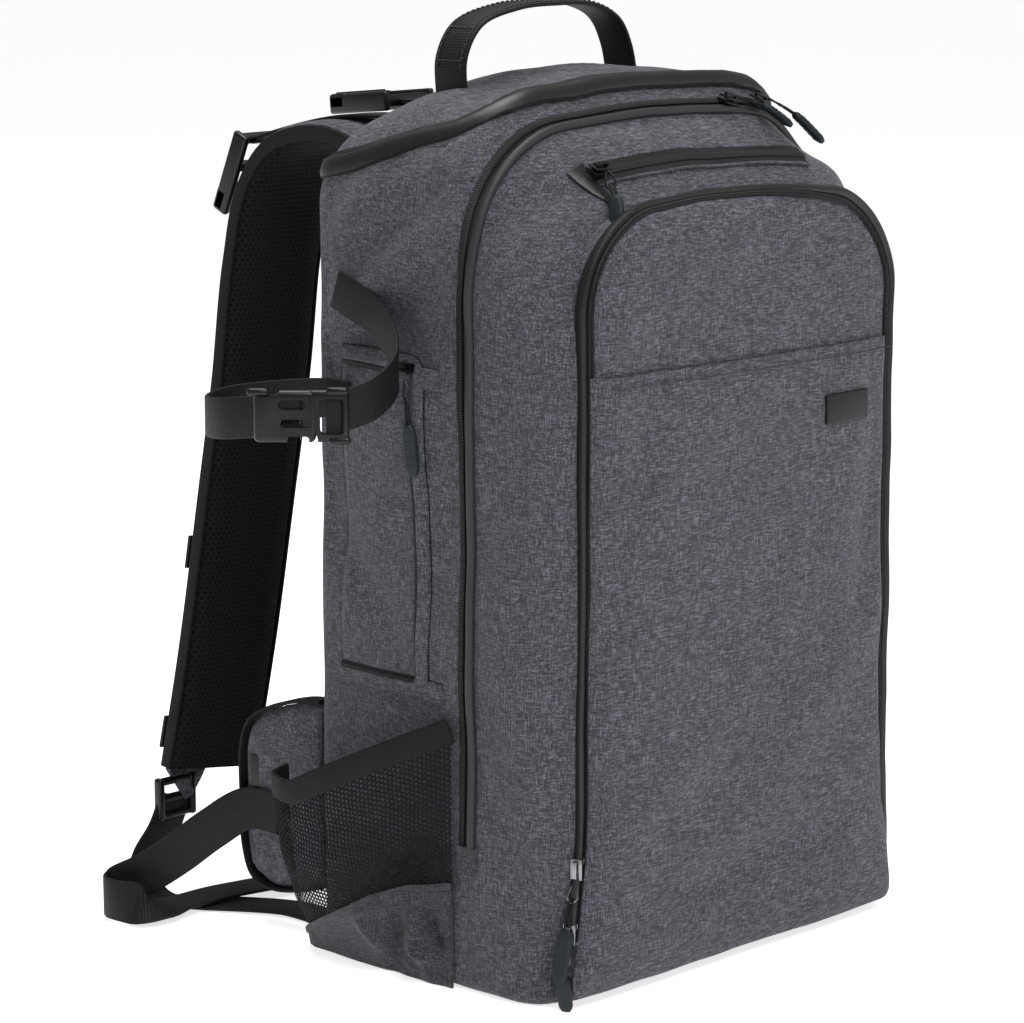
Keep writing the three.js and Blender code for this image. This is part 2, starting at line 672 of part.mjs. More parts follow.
// A band swept through stations; each station has a place and the direction of the band's width.
function sweep(stations, width, thickness, steps, round) {
  const path = new THREE.CatmullRomCurve3(stations.map((s) => s.at), false, "centripetal");
  const spans = stations.length - 1;
  const rings = [];
  for (let i = 0; i <= steps; i++) {
    const t = i / steps;
    const k = Math.min(Math.floor(t * spans), spans - 1);
    const at = path.getPoint(t);
    const along = path.getTangent(t).normalize();
    const across = stations[k].across.clone().lerp(stations[k + 1].across, t * spans - k);
    across.addScaledVector(along, -across.dot(along)).normalize();
    const up = along.clone().cross(across);
    rings.push(
      bandSection(width, thickness, round).map(([u, v]) =>
        at.clone().addScaledVector(across, u).addScaledVector(up, v),
      ),
    );
  }
  return loft(rings);
}

// Webbing has a flat section; padding has a flat middle that thins towards its edges.
function bandSection(width, thickness, round) {
  const w = width / 2;
  const t = thickness / 2;
  if (!round) {
    return [
      [-w, -t],
      [w, -t],
      [w, t],
      [-w, t],
    ];
  }
  const profile = [
    [1, 0.25],
    [0.86, 0.85],
    [0.55, 1],
    [-0.55, 1],
    [-0.86, 0.85],
    [-1, 0.25],
  ];
  const upper = profile.map(([u, v]) => [u * w, v * t]);
  const lower = profile.map(([u, v]) => [u * w, -v * t]).reverse();
  return [...lower, ...upper];
}

const X_AXIS = new THREE.Vector3(1, 0, 0);
const Y_AXIS = new THREE.Vector3(0, 1, 0);
const Z_AXIS = new THREE.Vector3(0, 0, 1);
const station = (x, y, z, across) => ({ at: new THREE.Vector3(x, y, z), across });

function addHandle() {
  const rows = [
    { x: -0.5, up: -0.35 },
    { x: -0.5, up: 0.25 },
    { x: -0.42, up: 0.72 },
    { x: -0.2, up: 0.96 },
    { x: 0.0, up: 1.0 },
    { x: 0.22, up: 0.96 },
    { x: 0.37, up: 0.72 },
    { x: 0.44, up: 0.3 },
    { x: 0.48, up: -0.35 },
  ];
  const rootZ = topZ(HANDLE_Y);
  const stations = rows.map((r) => station(r.x * HANDLE_SPAN, HANDLE_Y, rootZ + r.up * HANDLE_RISE, Y_AXIS));
  add("handle", sweep(stations, WEB_WIDTH, WEB_THICKNESS, 22, false).subtract(bodySkin(GAP)), WEBBING);
}

function addLabel() {
  const w = LABEL_WIDTH / 2;
  const h = LABEL_HEIGHT / 2;
  const plate = box(LABEL_X - w, LABEL_X + w, FACE_Y - 3 * POCKET_RISE, FACE_Y, LABEL_Z - h, LABEL_Z + h);
  const base = GAP + SLIP_POCKET_THICKNESS + GAP;
  const skin = pocketLoft(base + LABEL_THICKNESS, POCKET_SECTIONS).subtract(pocketLoft(base, POCKET_SECTIONS));
  add("label_plate", skin.intersect(plate), PLASTIC);
}

// Net pockets: a thin bulging wall on each side, with an elastic rim and a cloth boot below.
function netSolid(side, grow, rise) {
  const length = BACK_Y - NET_FRONT_Y;
  const fall = (along) => Math.min(1, along / NET_RIM_FALL);
  const rim = (along) => THREE.MathUtils.lerp(NET_RIM_FRONT_Z, NET_RIM_REAR_Z, fall(along));
  const rings = rise.map(({ up, swell }) => {
    const outer = NET_PLAN.map(({ along, out }) => {
      const x = side * (HALF + NET_THICKNESS + grow + out * swell * NET_BULGE);
      return new THREE.Vector3(x, NET_FRONT_Y + along * length + (along - 0.5) * 2 * grow, up * rim(along));
    });
    const inner = [...NET_PLAN].reverse().map(({ along }) => {
      const y = NET_FRONT_Y + along * length + (along - 0.5) * 2 * grow;
      return new THREE.Vector3(side * (HALF - BODY_WALL), y, up * rim(along));
    });
    return [...outer, ...inner];
  });
  return loft(rings);
}

function addNetPockets() {
  const clearBag = bagSkin(GAP);
  for (const { name, side } of STRAP_SIDES) {
    const inside = netSolid(side, -NET_THICKNESS, [...NET_RISE, { up: 1.5, swell: 1.0 }]);
    const wall = netSolid(side, 0, NET_RISE).subtract(inside).subtract(clearBag);
    const reach = HALF + NET_BULGE * 2;
    const length = BACK_Y - NET_FRONT_Y;
    const rimLine = (drop) => [
      [NET_FRONT_Y - length, NET_RIM_FRONT_Z + drop],
      [NET_FRONT_Y, NET_RIM_FRONT_Z + drop],
      [NET_FRONT_Y + length * NET_RIM_FALL, NET_RIM_REAR_Z + drop],
      [BACK_Y + length, NET_RIM_REAR_Z + drop],
    ];
    const under = (line) => {
      const outline = [...line, [BACK_Y + length, -length], [NET_FRONT_Y - length, -length]];
      return prismX(outline, -reach, reach);
    };
    const belowRim = under(rimLine(-NET_RIM_WIDTH));
    const belowRimClear = under(rimLine(-NET_RIM_WIDTH - GAP));
    const bootLine = (drop) => [
      [NET_FRONT_Y - length, BOOT_FRONT_Z + drop],
      [NET_FRONT_Y + 0.2 * length, BOOT_FRONT_Z * 0.93 + drop],
      [NET_FRONT_Y + 0.38 * length, BOOT_FRONT_Z * 0.8 + drop],
      [BACK_Y + length, -BOOT_FRONT_Z * 0.9 + drop],
    ];
    add(`net_rim_${name}`, wall.subtract(belowRim), WEBBING);
    add(`net_${name}`, wall.intersect(belowRimClear).subtract(under(bootLine(GAP))), NET);
    add(`boot_${name}`, wall.intersect(under(bootLine(0))), FABRIC);
  }
}

// The strap that holds long things: it stands out from the left side in a round loop.
function addSideStrap() {
  const r = SIDE_STRAP_RADIUS;
  const wallX = -HALF - GAP - WEB_THICKNESS;
  const stations = (rows) =>
    rows.map(({ out, along, lift }) =>
      station(wallX - out * r, SIDE_STRAP_Y + along * r, SIDE_STRAP_Z + lift * WEB_WIDTH, Z_AXIS),
    );
  const clear = bagSkin(ZIP_THICKNESS + GAP);
  const band = (rows) => sweep(stations(rows), SIDE_STRAP_WIDTH, WEB_THICKNESS, 20, false).subtract(clear);
  const size = [SIDE_BUCKLE_LENGTH, SIDE_BUCKLE_THICKNESS, SIDE_BUCKLE_HEIGHT];
  const room = placedBuckle(new THREE.BoxGeometry(...size.map((v) => v + 2 * GAP)));
  const body = placedBuckle(new THREE.BoxGeometry(...size));
  const slot = new THREE.BoxGeometry(size[0] * 0.3, size[1] * 2, size[2] * 0.5);
  add("side_strap_front", band(SIDE_STRAP_FRONT).subtract(room), WEBBING);
  add("side_strap_rear", band(SIDE_STRAP_REAR).subtract(room), WEBBING);
  add("side_buckle", body.subtract(placedBuckle(slot)), PLASTIC);
}

// Moves a shape made round the origin to the outermost part of the side strap's loop.
function placedBuckle(geometry) {
  const facing = THREE.MathUtils.degToRad(SIDE_BUCKLE_FACING);
  const r = SIDE_STRAP_RADIUS;
  const middleX = -HALF - GAP - WEB_THICKNESS - SIDE_STRAP_MIDDLE.out * r;
  geometry.rotateZ(facing + Math.PI / 2);
  geometry.translate(middleX + r * Math.cos(facing), SIDE_STRAP_Y + r * Math.sin(facing), SIDE_STRAP_Z);
  return solidOf(geometry);
}

// Shoulder straps, bowed out behind the back panel.
function strapStations({ side, reach, lean }) {
  return STRAP_ROUTE.map(({ back, up, side: spread, arch }) => {
    const z = STRAP_END_Z + up * (STRAP_ROOT_Z - STRAP_END_Z);
    const x = side * (STRAP_ROOT_X + (spread + arch * lean) * STRAP_SPREAD);
    return station(x, BACK_Y + GAP + back * reach, z, X_AXIS);
  });
}

function routePoint(stations, zWanted) {
  const path = new THREE.CatmullRomCurve3(stations.map((s) => s.at), false, "centripetal");
  let best = 1;
  for (let i = 50; i <= 100; i++) {
    const better = Math.abs(path.getPoint(i / 100).z - zWanted) < Math.abs(path.getPoint(best).z - zWanted);
    if (better) best = i / 100;
  }
  return { at: path.getPoint(best), along: path.getTangent(best).normalize() };
}

function orientedBox(size, at, along, across) {
  const up = along.clone().cross(across).normalize();
  const geometry = new THREE.BoxGeometry(...size);
  const turn = new THREE.Matrix4().makeBasis(across.clone().normalize(), up, along.clone().normalize());
  geometry.applyMatrix4(turn);
  geometry.translate(at.x, at.y, at.z);
  return solidOf(geometry);
}

function addShoulderStraps() {
  for (const sideRow of STRAP_SIDES) {
    const { name } = sideRow;
    const stations = strapStations(sideRow);
    const strap = sweep(stations, STRAP_WIDTH, STRAP_THICKNESS, 25, true).subtract(bagSkin(GAP));
    add(`shoulder_strap_${name}`, strap, NET);

    for (const keeper of KEEPERS) {
      const { at, along } = routePoint(stations, STRAP_END_Z + keeper.up * (STRAP_ROOT_Z - STRAP_END_Z));
      const across = X_AXIS.clone().addScaledVector(along, -X_AXIS.dot(along)).normalize();
      const out = across.clone().cross(along);
      if (out.y < 0) out.negate();
      const depth = STRAP_THICKNESS / 2 + GAP + KEEPER_THICKNESS / 2;
      const place = at.clone().addScaledVector(out, depth);
      add(
        `strap_keeper_${name}_${keeper.name}`,
        orientedBox([STRAP_WIDTH * 0.98, KEEPER_THICKNESS, KEEPER_WIDTH], place, along, across),
        WEBBING,
      );
    }

    addLifter(sideRow, stations);
  }
}

// The load lifter: a buckle that stands on the strap's crest, and webbing from it to the back panel.
function addLifter({ name, side, buckleSeat, buckleTilt }, stations) {
  const path = new THREE.CatmullRomCurve3(stations.map((s) => s.at), false, "centripetal");
  const seat = path.getPoint(buckleSeat);
  const along = path.getTangent(buckleSeat).normalize();
  const across = X_AXIS.clone().addScaledVector(along, -X_AXIS.dot(along)).normalize();
  const out = across.clone().cross(along).normalize();
  if (out.y + out.z < 0) out.negate();
  const buckleAlong = new THREE.Vector3(0, Math.cos(buckleTilt), -Math.sin(buckleTilt));
  const lean = Math.abs(buckleAlong.dot(out)) * LIFTER_BUCKLE_LENGTH + LIFTER_BUCKLE_THICKNESS;
  const top = seat.clone().addScaledVector(out, STRAP_THICKNESS / 2 + GAP + lean / 2);
  const sized = (size) => orientedBox(size, top, buckleAlong, X_AXIS);
  const size = [LIFTER_BUCKLE_WIDTH, LIFTER_BUCKLE_THICKNESS, LIFTER_BUCKLE_LENGTH];
  const slots = [-0.28, 0.12].map((share) =>
    orientedBox(
      [LIFTER_WIDTH + 2, LIFTER_BUCKLE_THICKNESS * 2, LIFTER_BUCKLE_LENGTH * 0.16],
      top.clone().addScaledVector(buckleAlong, share * LIFTER_BUCKLE_LENGTH),
      buckleAlong,
      X_AXIS,
    ),
  );
  const strap = sweep(stations, STRAP_WIDTH, STRAP_THICKNESS + 2 * GAP, 25, true);
  const buckle = slots.reduce((solid, slot) => solid.subtract(slot), sized(size)).subtract(strap);
  add(`lifter_buckle_${name}`, buckle, PLASTIC);

  const start = top.clone().addScaledVector(buckleAlong, -LIFTER_BUCKLE_LENGTH / 2);
  const rootZ = STRAP_ROOT_Z + 32;
  const webStations = [
    station(side * STRAP_ROOT_X, BACK_Y + GAP, rootZ, X_AXIS),
    station(side * STRAP_ROOT_X, BACK_Y + 12, rootZ + 1, X_AXIS),
    station((side * STRAP_ROOT_X + start.x) / 2, (BACK_Y + start.y) / 2, Math.max(rootZ, start.z), X_AXIS),
    station(start.x, start.y - 6, start.z, X_AXIS),
    station(start.x, start.y, start.z, X_AXIS),
  ];
  const room = sized(size.map((v) => v + 2 * GAP));
  const webbing = sweep(webStations, LIFTER_WIDTH, WEB_THICKNESS, 12, false);
  add(`lifter_strap_${name}`, webbing.subtract(room).subtract(strap).subtract(bagSkin(GAP)), WEBBING);
}

// Webbing from the lower end of each shoulder strap to the foot of the bag, through an adjuster.
function addLowerWebs() {
  for (const sideRow of STRAP_SIDES) {
    const { name, side } = sideRow;
    const stations = strapStations(sideRow);
    const end = stations[stations.length - 1].at;
    const seat = new THREE.Vector3(end.x + side * ADJUSTER_OUTSET, end.y, end.z - ADJUSTER_HEIGHT / 2 - 1);
    const size = [ADJUSTER_WIDTH, ADJUSTER_THICKNESS, ADJUSTER_HEIGHT];
    add(`strap_adjuster_${name}`, orientedBox(size, seat, Z_AXIS, X_AXIS), PLASTIC);
    const lowZ = WEB_THICKNESS / 2 + 2 * GAP;
    const web = [
      ...STRAP_WEB.map(({ out, back, up }) => {
        const x = seat.x + side * out * ADJUSTER_WIDTH;
        return station(x, seat.y + back * ADJUSTER_WIDTH, lowZ + up * (seat.z - lowZ), X_AXIS);
      }),
      ...STRAP_WEB_FOOT.map(({ out, back, up }) =>
        station(side * (HALF - out * WEB_WIDTH), BACK_Y + back * WEB_WIDTH, lowZ + up * WEB_WIDTH, X_AXIS),
      ),
    ];
    const room = orientedBox(size.map((v) => v + 2 * GAP), seat, Z_AXIS, X_AXIS);
    const webbing = sweep(web, WEB_WIDTH, WEB_THICKNESS, 30, false);
    add(`strap_web_${name}`, webbing.subtract(room).subtract(bagSkin(GAP)), WEBBING);
  }
}

function roundedPad(x0, x1, z0, z1, thickness) {
  const rows = [
    { out: 0, inset: 0 },
    { out: 0.45, inset: 0.02 },
    { out: 0.8, inset: 0.1 },
    { out: 1, inset: 0.28 },
  ];
  const rings = rows.map(({ out, inset }) => {
    const pull = inset * thickness * 2;
    const radius = thickness * 1.5;
    const [a, b, c, d] = [x0 + pull, x1 - pull, z0 + pull, z1 - pull];
    const outline = [
      ...arc(b - radius, c + radius, radius, -Math.PI / 2, 0, 3),
      ...arc(b - radius, d - radius, radius, 0, Math.PI / 2, 3),
      ...arc(a + radius, d - radius, radius, Math.PI / 2, Math.PI, 3),
      ...arc(a + radius, c + radius, radius, Math.PI, 1.5 * Math.PI, 3),
    ];
    return outline.map(([x, z]) => new THREE.Vector3(x, BACK_Y + GAP + out * thickness, z));
  });
  return loft(rings);
}

function addBackPanel() {
  const x0 = PAD_GAP / 2;
  add("back_pad_left", roundedPad(-x0 - PAD_WIDTH, -x0, PAD_LOW_Z, PAD_TOP_Z, PAD_THICKNESS), NET);
  add("back_pad_right", roundedPad(x0, x0 + PAD_WIDTH, PAD_LOW_Z, PAD_TOP_Z, PAD_THICKNESS), NET);
  const w = LUMBAR_WIDTH / 2;
  add("lumbar_pad", roundedPad(-w, w, LUMBAR_LOW_Z, LUMBAR_TOP_Z, PAD_THICKNESS), NET);
}

// Hip belt: a padded fin on each side, then webbing that meets in a buckle behind the bag.
const FIN_PLAN = [
  { back: 0.0, out: -0.02, low: 0.06, high: 1.0 },
  { back: 0.3, out: 0.02, low: 0.02, high: 0.98 },
  { back: 0.65, out: 0.07, low: 0.0, high: 0.92 },
  { back: 0.88, out: 0.1, low: 0.06, high: 0.84 },
  { back: 1.0, out: 0.1, low: 0.2, high: 0.72 },
];

function finSolid(side, length) {
  const rings = FIN_PLAN.map(({ back, out, low, high }) => {
    const x = side * (HALF * 0.93 + out * length);
    const y = BACK_Y + GAP + back * length;
    const z0 = THREE.MathUtils.lerp(FIN_LOW_Z, FIN_TOP_Z, low);
    const z1 = THREE.MathUtils.lerp(FIN_LOW_Z, FIN_TOP_Z, high);
    const slim = back === 1 ? 0.4 : 1;
    const t = (FIN_THICKNESS / 2) * slim;
    const edge = (z1 - z0) * 0.07;
    return [
      [t, z0 + edge],
      [t, z1 - edge],
      [t * 0.3, z1],
      [-t * 0.3, z1],
      [-t, z1 - edge],
      [-t, z0 + edge],
      [-t * 0.3, z0],
      [t * 0.3, z0],
    ].map(([dx, z]) => new THREE.Vector3(x + dx, y, z));
  });
  return loft(rings);
}

function addHipBelt() {
  for (const { name, side } of STRAP_SIDES) {
    add(`hip_fin_${name}`, finSolid(side, FIN_LENGTH).subtract(bagSkin(GAP)), FABRIC);
  }
  const finX = HALF * 0.93 + 0.1 * FIN_LENGTH;
  const finY = BACK_Y + GAP + FIN_LENGTH;
  const buckleZ = HIP_BUCKLE_THICKNESS / 2 + GAP;
  const webbing = (side, rows, end) => {
    const stations = rows.map(({ out, back, up, flat }) => {
      const x = side * (finX + FIN_THICKNESS / 2 + out * FIN_LENGTH);
      return station(x, finY + back * FIN_LENGTH, up * FIN_TOP_Z, new THREE.Vector3(0, flat, 1 - flat));
    });
    stations.push(station(end, HIP_BUCKLE_Y, buckleZ, Y_AXIS));
    return sweep(stations, WEB_WIDTH, WEB_THICKNESS, 4 * stations.length, false);
  };
  const half = HIP_BUCKLE_LENGTH / 2;
  const room = box(
    HIP_BUCKLE_X - half - GAP,
    HIP_BUCKLE_X + half + GAP,
    HIP_BUCKLE_Y - HIP_BUCKLE_WIDTH,
    HIP_BUCKLE_Y + HIP_BUCKLE_WIDTH,
    -HIP_BUCKLE_THICKNESS,
    2 * HIP_BUCKLE_THICKNESS,
  );
  add("hip_web_left", webbing(-1, HIP_WEB_LEFT, HIP_BUCKLE_X - half).subtract(room), WEBBING);
  add("hip_web_right", webbing(1, HIP_WEB_RIGHT, HIP_BUCKLE_X + half).subtract(room), WEBBING);
  add("hip_buckle", hipBuckle(HIP_BUCKLE_X, HIP_BUCKLE_Y, buckleZ), PLASTIC);
}

function hipBuckle(x, y, z) {
  const rows = [
    { along: -0.5, wide: 0.86, thick: 0.6 },
    { along: -0.2, wide: 1.0, thick: 1.0 },
    { along: 0.2, wide: 1.0, thick: 1.0 },
    { along: 0.5, wide: 0.86, thick: 0.6 },
  ];
  const rings = rows.map(({ along, wide, thick }) =>
    bandSection(wide * HIP_BUCKLE_WIDTH, thick * HIP_BUCKLE_THICKNESS, true).map(
      ([u, v]) => new THREE.Vector3(x + along * HIP_BUCKLE_LENGTH, y + u, z + v),
    ),
  );
  return loft(rings);
}

const SLIDER_CLEARANCE = ZIP_THICKNESS + GAP;

// A slider on the given clearance over the bag, and its pull, which hangs along its route.
function addSlider(name, at, normal, along, route, clearance) {
  const across = along.clone().cross(normal).normalize();
  const size = [SLIDER_WIDTH, SLIDER_HEIGHT, SLIDER_LENGTH];
  const clear = bagSkin(clearance).add(pocketLoft(POCKET_ZIP_THICKNESS + GAP, POCKET_SECTIONS));
  add(`${name}_slider`, orientedBox(size, at, along, across).subtract(clear), METAL);

  const path = new THREE.CatmullRomCurve3(route, false, "centripetal");
  const rings = PULL_PROFILE.map(({ along: t, wide, thick }) => {
    const point = path.getPoint(t);
    const tangent = path.getTangent(t).normalize();
    const side = tangent.clone().cross(normal).normalize();
    const up = side.clone().cross(tangent);
    return bandSection(wide * PULL_WIDTH, thick * PULL_THICKNESS, true).map(([u, v]) =>
      point.clone().addScaledVector(side, u).addScaledVector(up, v),
    );
  });
  const room = orientedBox(size.map((v) => v + 2 * GAP), at, along, across);
  add(`${name}_pull`, loft(rings).subtract(room).subtract(clear), RUBBER);
}

function addSliders() {
  const lift = SLIDER_CLEARANCE + SLIDER_HEIGHT / 2;
  const minusX = X_AXIS.clone().negate();
  for (const { name, across, reach } of CASE_SLIDERS) {
    const x = across * HALF;
    const along = new THREE.Vector3(1, 0, skinZ(x + 1, JOINT_Y) - skinZ(x, JOINT_Y)).normalize();
    const normal = new THREE.Vector3(-along.z, -slopeAt(JOINT_Y - 2, 2), along.x).normalize();
    const at = new THREE.Vector3(x, JOINT_Y, skinZ(x, JOINT_Y)).addScaledVector(normal, lift);
    const route = [0, 0.5, 1].map((t) => {
      const px = x + SLIDER_LENGTH / 2 + t * PULL_LENGTH * reach;
      const py = JOINT_Y - t * PULL_LENGTH * (1 - reach) * 0.7;
      return new THREE.Vector3(px, py, skinZ(px, py) + lift + PULL_THICKNESS / 2);
    });
    addSlider(name, at, normal, along, route, SLIDER_CLEARANCE);
  }

  const flankX = -POCKET_WIDTH / 2 - POCKET_ZIP_THICKNESS - GAP - SLIDER_HEIGHT / 2;
  for (const { name, over, ahead, pull } of POCKET_SLIDERS) {
    const at = new THREE.Vector3(flankX, FACE_Y - ahead, POCKET_ZIP_END_Z + over);
    const route = pull.map((row) => {
      const drop = SLIDER_LENGTH / 2 + GAP + row.down;
      return new THREE.Vector3(at.x - row.out, at.y - row.ahead, at.z - drop);
    });
    addSlider(name, at, minusX, Z_AXIS, route, GAP);
  }

  const x = -TOP_ZIP_LENGTH / 2 + SLIDER_LENGTH / 2;
  const lean = slopeAt(topZipY, 2);
  const normal = new THREE.Vector3(0, -Math.sin(lean), Math.cos(lean));
  const at = new THREE.Vector3(x, topZipY, skinZ(x, topZipY)).addScaledVector(normal, lift);
  const hang = TOP_PULL_ROUTE.map(({ side, down }) => {
    const px = x - side * PULL_LENGTH;
    const py = Math.max(topZipY - down * PULL_LENGTH, FACE_Y + 4);
    return new THREE.Vector3(px, py, skinZ(px, py)).addScaledVector(normal, lift + PULL_THICKNESS / 2);
  });
  addSlider("top_pocket", at, normal, X_AXIS, hang, SLIDER_CLEARANCE);

  const doorY = DOOR_FRONT_Y + SLIDER_LENGTH / 2;
  const doorAt = new THREE.Vector3(-skinX(doorY, DOOR_TOP) - lift, doorY, DOOR_TOP - SLIDER_HEIGHT / 2);
  const doorRoute = [0, 0.5, 1].map((t) => {
    const drop = SLIDER_WIDTH / 2 + GAP + t * PULL_LENGTH * 0.9;
    return new THREE.Vector3(doorAt.x - PULL_THICKNESS / 2, doorY - t * SLIDER_WIDTH, doorAt.z - drop);
  });
  addSlider("side_door", doorAt, minusX, Y_AXIS, doorRoute, SLIDER_CLEARANCE);

  const lidY = BACK_Y - BODY_DEPTH / 4;
  const lidZ = LID_CUT_REAR_Z + (LID_CUT_FRONT_Z - LID_CUT_REAR_Z) / 3;
  const lidAt = new THREE.Vector3(skinX(lidY, lidZ) + lift, lidY, lidZ);
  const lidRoute = [0, 0.5, 1].map((t) => {
    const drop = SLIDER_WIDTH / 2 + GAP + t * PULL_LENGTH;
    const z = lidAt.z - drop;
    return new THREE.Vector3(skinX(lidY, z) + lift + PULL_THICKNESS / 2, lidY, z);
  });
  addSlider("lid", lidAt, X_AXIS, Y_AXIS, lidRoute, SLIDER_CLEARANCE);
}

addBody();
addFrontPocket();
addZips();
addSliders();
addHandle();
addLabel();
addNetPockets();
addSideStrap();
addShoulderStraps();
addLowerWebs();
addBackPanel();
addHipBelt();

export default backpack;
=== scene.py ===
"""The camera backpack, dressed for its photo.

Blender's units are metres. The tables and sizes below are in millimetres, in the frame of the CAD part:
+Z up, the front faces -Y, the wearer's back is at +Y, and +X is to the right when seen from the front.
"""

import math
from collections import namedtuple

import bpy
import numpy as np
from mathutils import Matrix, Vector, noise


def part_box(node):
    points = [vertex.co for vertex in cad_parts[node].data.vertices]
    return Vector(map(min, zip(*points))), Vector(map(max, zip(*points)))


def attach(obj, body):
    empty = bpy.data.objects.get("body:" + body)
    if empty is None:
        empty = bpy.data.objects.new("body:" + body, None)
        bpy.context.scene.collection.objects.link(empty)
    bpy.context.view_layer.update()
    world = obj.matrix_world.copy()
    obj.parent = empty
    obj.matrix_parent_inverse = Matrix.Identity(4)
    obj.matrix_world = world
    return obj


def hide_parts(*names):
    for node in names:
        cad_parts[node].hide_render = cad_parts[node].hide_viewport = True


MM = 0.001

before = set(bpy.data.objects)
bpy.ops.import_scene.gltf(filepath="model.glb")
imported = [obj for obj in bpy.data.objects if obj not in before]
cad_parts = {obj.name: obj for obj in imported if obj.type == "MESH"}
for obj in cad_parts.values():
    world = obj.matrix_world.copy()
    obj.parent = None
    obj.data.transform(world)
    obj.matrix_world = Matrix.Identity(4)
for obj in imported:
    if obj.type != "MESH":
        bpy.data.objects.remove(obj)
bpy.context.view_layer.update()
bpy.ops.object.select_all(action="DESELECT")


# Camera: about 45 degrees round to the bag's left and 11 degrees down, 2.1 m away

bpy.ops.object.camera_add(
    location=(-1.4596, -1.3787, 0.6363), rotation=(math.radians(79), 0, math.radians(-45))
)
camera = bpy.context.object
camera.data.lens = 123.75
camera.data.sensor_width = 36
bpy.context.scene.camera = camera


# Materials. One function turns colours linear, one adds nodes, and each finish has a function of its own


def linear(code):
    """A screen colour "#rrggbb" as the linear values that a shader takes."""
    parts = [int(code[i : i + 2], 16) / 255 for i in (1, 3, 5)]
    return [p / 12.92 if p <= 0.04045 else ((p + 0.055) / 1.055) ** 2.4 for p in parts] + [1.0]


def put(tree, kind, inputs=None, output=0, **settings):
    """Adds a node and returns one of its outputs. An input is a plain value or another node's output."""
    made = tree.nodes.new("ShaderNode" + kind)
    for key, value in settings.items():
        setattr(made, key, value)
    for key, value in (inputs or {}).items():
        if isinstance(value, bpy.types.NodeSocket):
            tree.links.new(value, made.inputs[key])
        else:
            made.inputs[key].default_value = value
    return made.outputs[output]


def bare(name, color, roughness, **values):
    """A material with its plain values set: returns it, its node tree and its shader's inputs."""
    material = bpy.data.materials.new(name)
    material.use_nodes = True
    inputs = material.node_tree.nodes["Principled BSDF"].inputs
    inputs["Base Color"].default_value = linear(color)
    inputs["Roughness"].default_value = roughness
    for key, value in values.items():
        inputs[key.replace("_", " ")].default_value = value
    return material, material.node_tree, inputs


def roughened(tree, inputs, *heights):
    """Bumps in the shader's normal: heights are (socket, strength, depth in mm), the coarsest first."""
    normal = None
    for socket, strength, depth in heights:
        values = {"Strength": strength, "Distance": depth * MM, "Height": socket}
        if normal:
            values["Normal"] = normal
        normal = put(tree, "Bump", values)
    tree.links.new(normal, inputs["Normal"])


# Melange polyester: yarns of light and dark grey fibre in a plain weave of about 0.8 mm, with light and
# dark slubs of 5 mm along warp and weft, faintly bluish and violet. Soft folds up to 7 mm deep.
def heather(name="heather_polyester", dark="#2d2d31", middle="#48484f", light="#757580"):
    material, tree, inputs = bare(name, middle, 0.92, Sheen_Weight=0.08, Sheen_Roughness=0.5)
    place = put(tree, "TexCoord", output="Object")
    weave = 0.0
    for repeats in ((190, 190, 1250), (1250, 1250, 190), (190, 1250, 1250)):
        run = put(tree, "VectorMath", {0: place, 1: repeats}, operation="MULTIPLY")
        yarn = put(tree, "TexNoise", {"Vector": run, "Scale": 1, "Detail": 2, "Roughness": 0.6})
        weave = put(tree, "Math", {0: weave, 1: yarn}, operation="ADD")
    shade = linear(dark)
    for low, high, color in ((1.22, 1.5, middle), (1.5, 1.8, light)):
        share = put(tree, "MapRange", {0: weave, 1: low, 2: high})
        shade = put(tree, "Mix", {0: share, 6: shade, 7: linear(color)}, output=2, data_type="RGBA")
    patch = put(tree, "TexNoise", {"Vector": place, "Scale": 260, "Detail": 1})
    share = put(tree, "MapRange", {0: patch, 1: 0.42, 2: 0.58})
    tints = {0: share, 6: linear("#7c8081"), 7: linear("#827f82")}
    tint = put(tree, "Mix", tints, output=2, data_type="RGBA")
    tinted = {0: 0.5, 6: shade, 7: tint}
    shade = put(tree, "Mix", tinted, output=2, data_type="RGBA", blend_type="OVERLAY")
    tree.links.new(shade, inputs["Base Color"])
    folds = put(tree, "TexNoise", {"Vector": place, "Scale": 22, "Detail": 3, "Distortion": 0.6})
    roughened(tree, inputs, (folds, 0.5, 7), (weave, 0.35, 0.5))
    return material


# Zip cover: polyurethane-coated tape, folded over the teeth. Smooth and satin, so that it takes one long
# soft highlight, with faint ripples along it.
def coated_tape(name="coated_zip_tape", color="#121213"):
    coat = {"Coat_Weight": 0.08, "Coat_Roughness": 0.35}
    material, tree, inputs = bare(name, color, 0.4, Specular_IOR_Level=0.35, **coat)
    run = put(tree, "TexCoord", output="UV")
    run = put(tree, "VectorMath", {0: run, 1: (60, 20, 1)}, operation="MULTIPLY")
    ripples = put(tree, "TexNoise", {"Vector": run, "Scale": 1, "Detail": 2})
    roughened(tree, inputs, (ripples, 0.5, 1))
    return material


# A Wave texture of scale 1 repeats every 0.314 m
WAVE = 0.314


# Zip tape and coil: woven nylon tape with a ribbed coil of 1.4 mm pitch, dull black.
def coil(name="zip_coil", color="#0d0d0e", pitch=1.4):
    material, tree, inputs = bare(name, color, 0.55, Specular_IOR_Level=0.3)
    run = put(tree, "TexCoord", output="UV")
    ribs = {"Vector": run, "Scale": WAVE / (pitch * MM), "Distortion": 0.2}
    ribs = put(tree, "TexWave", ribs, output="Fac", bands_direction="X")
    roughened(tree, inputs, (ribs, 0.8, 0.4))
    return material


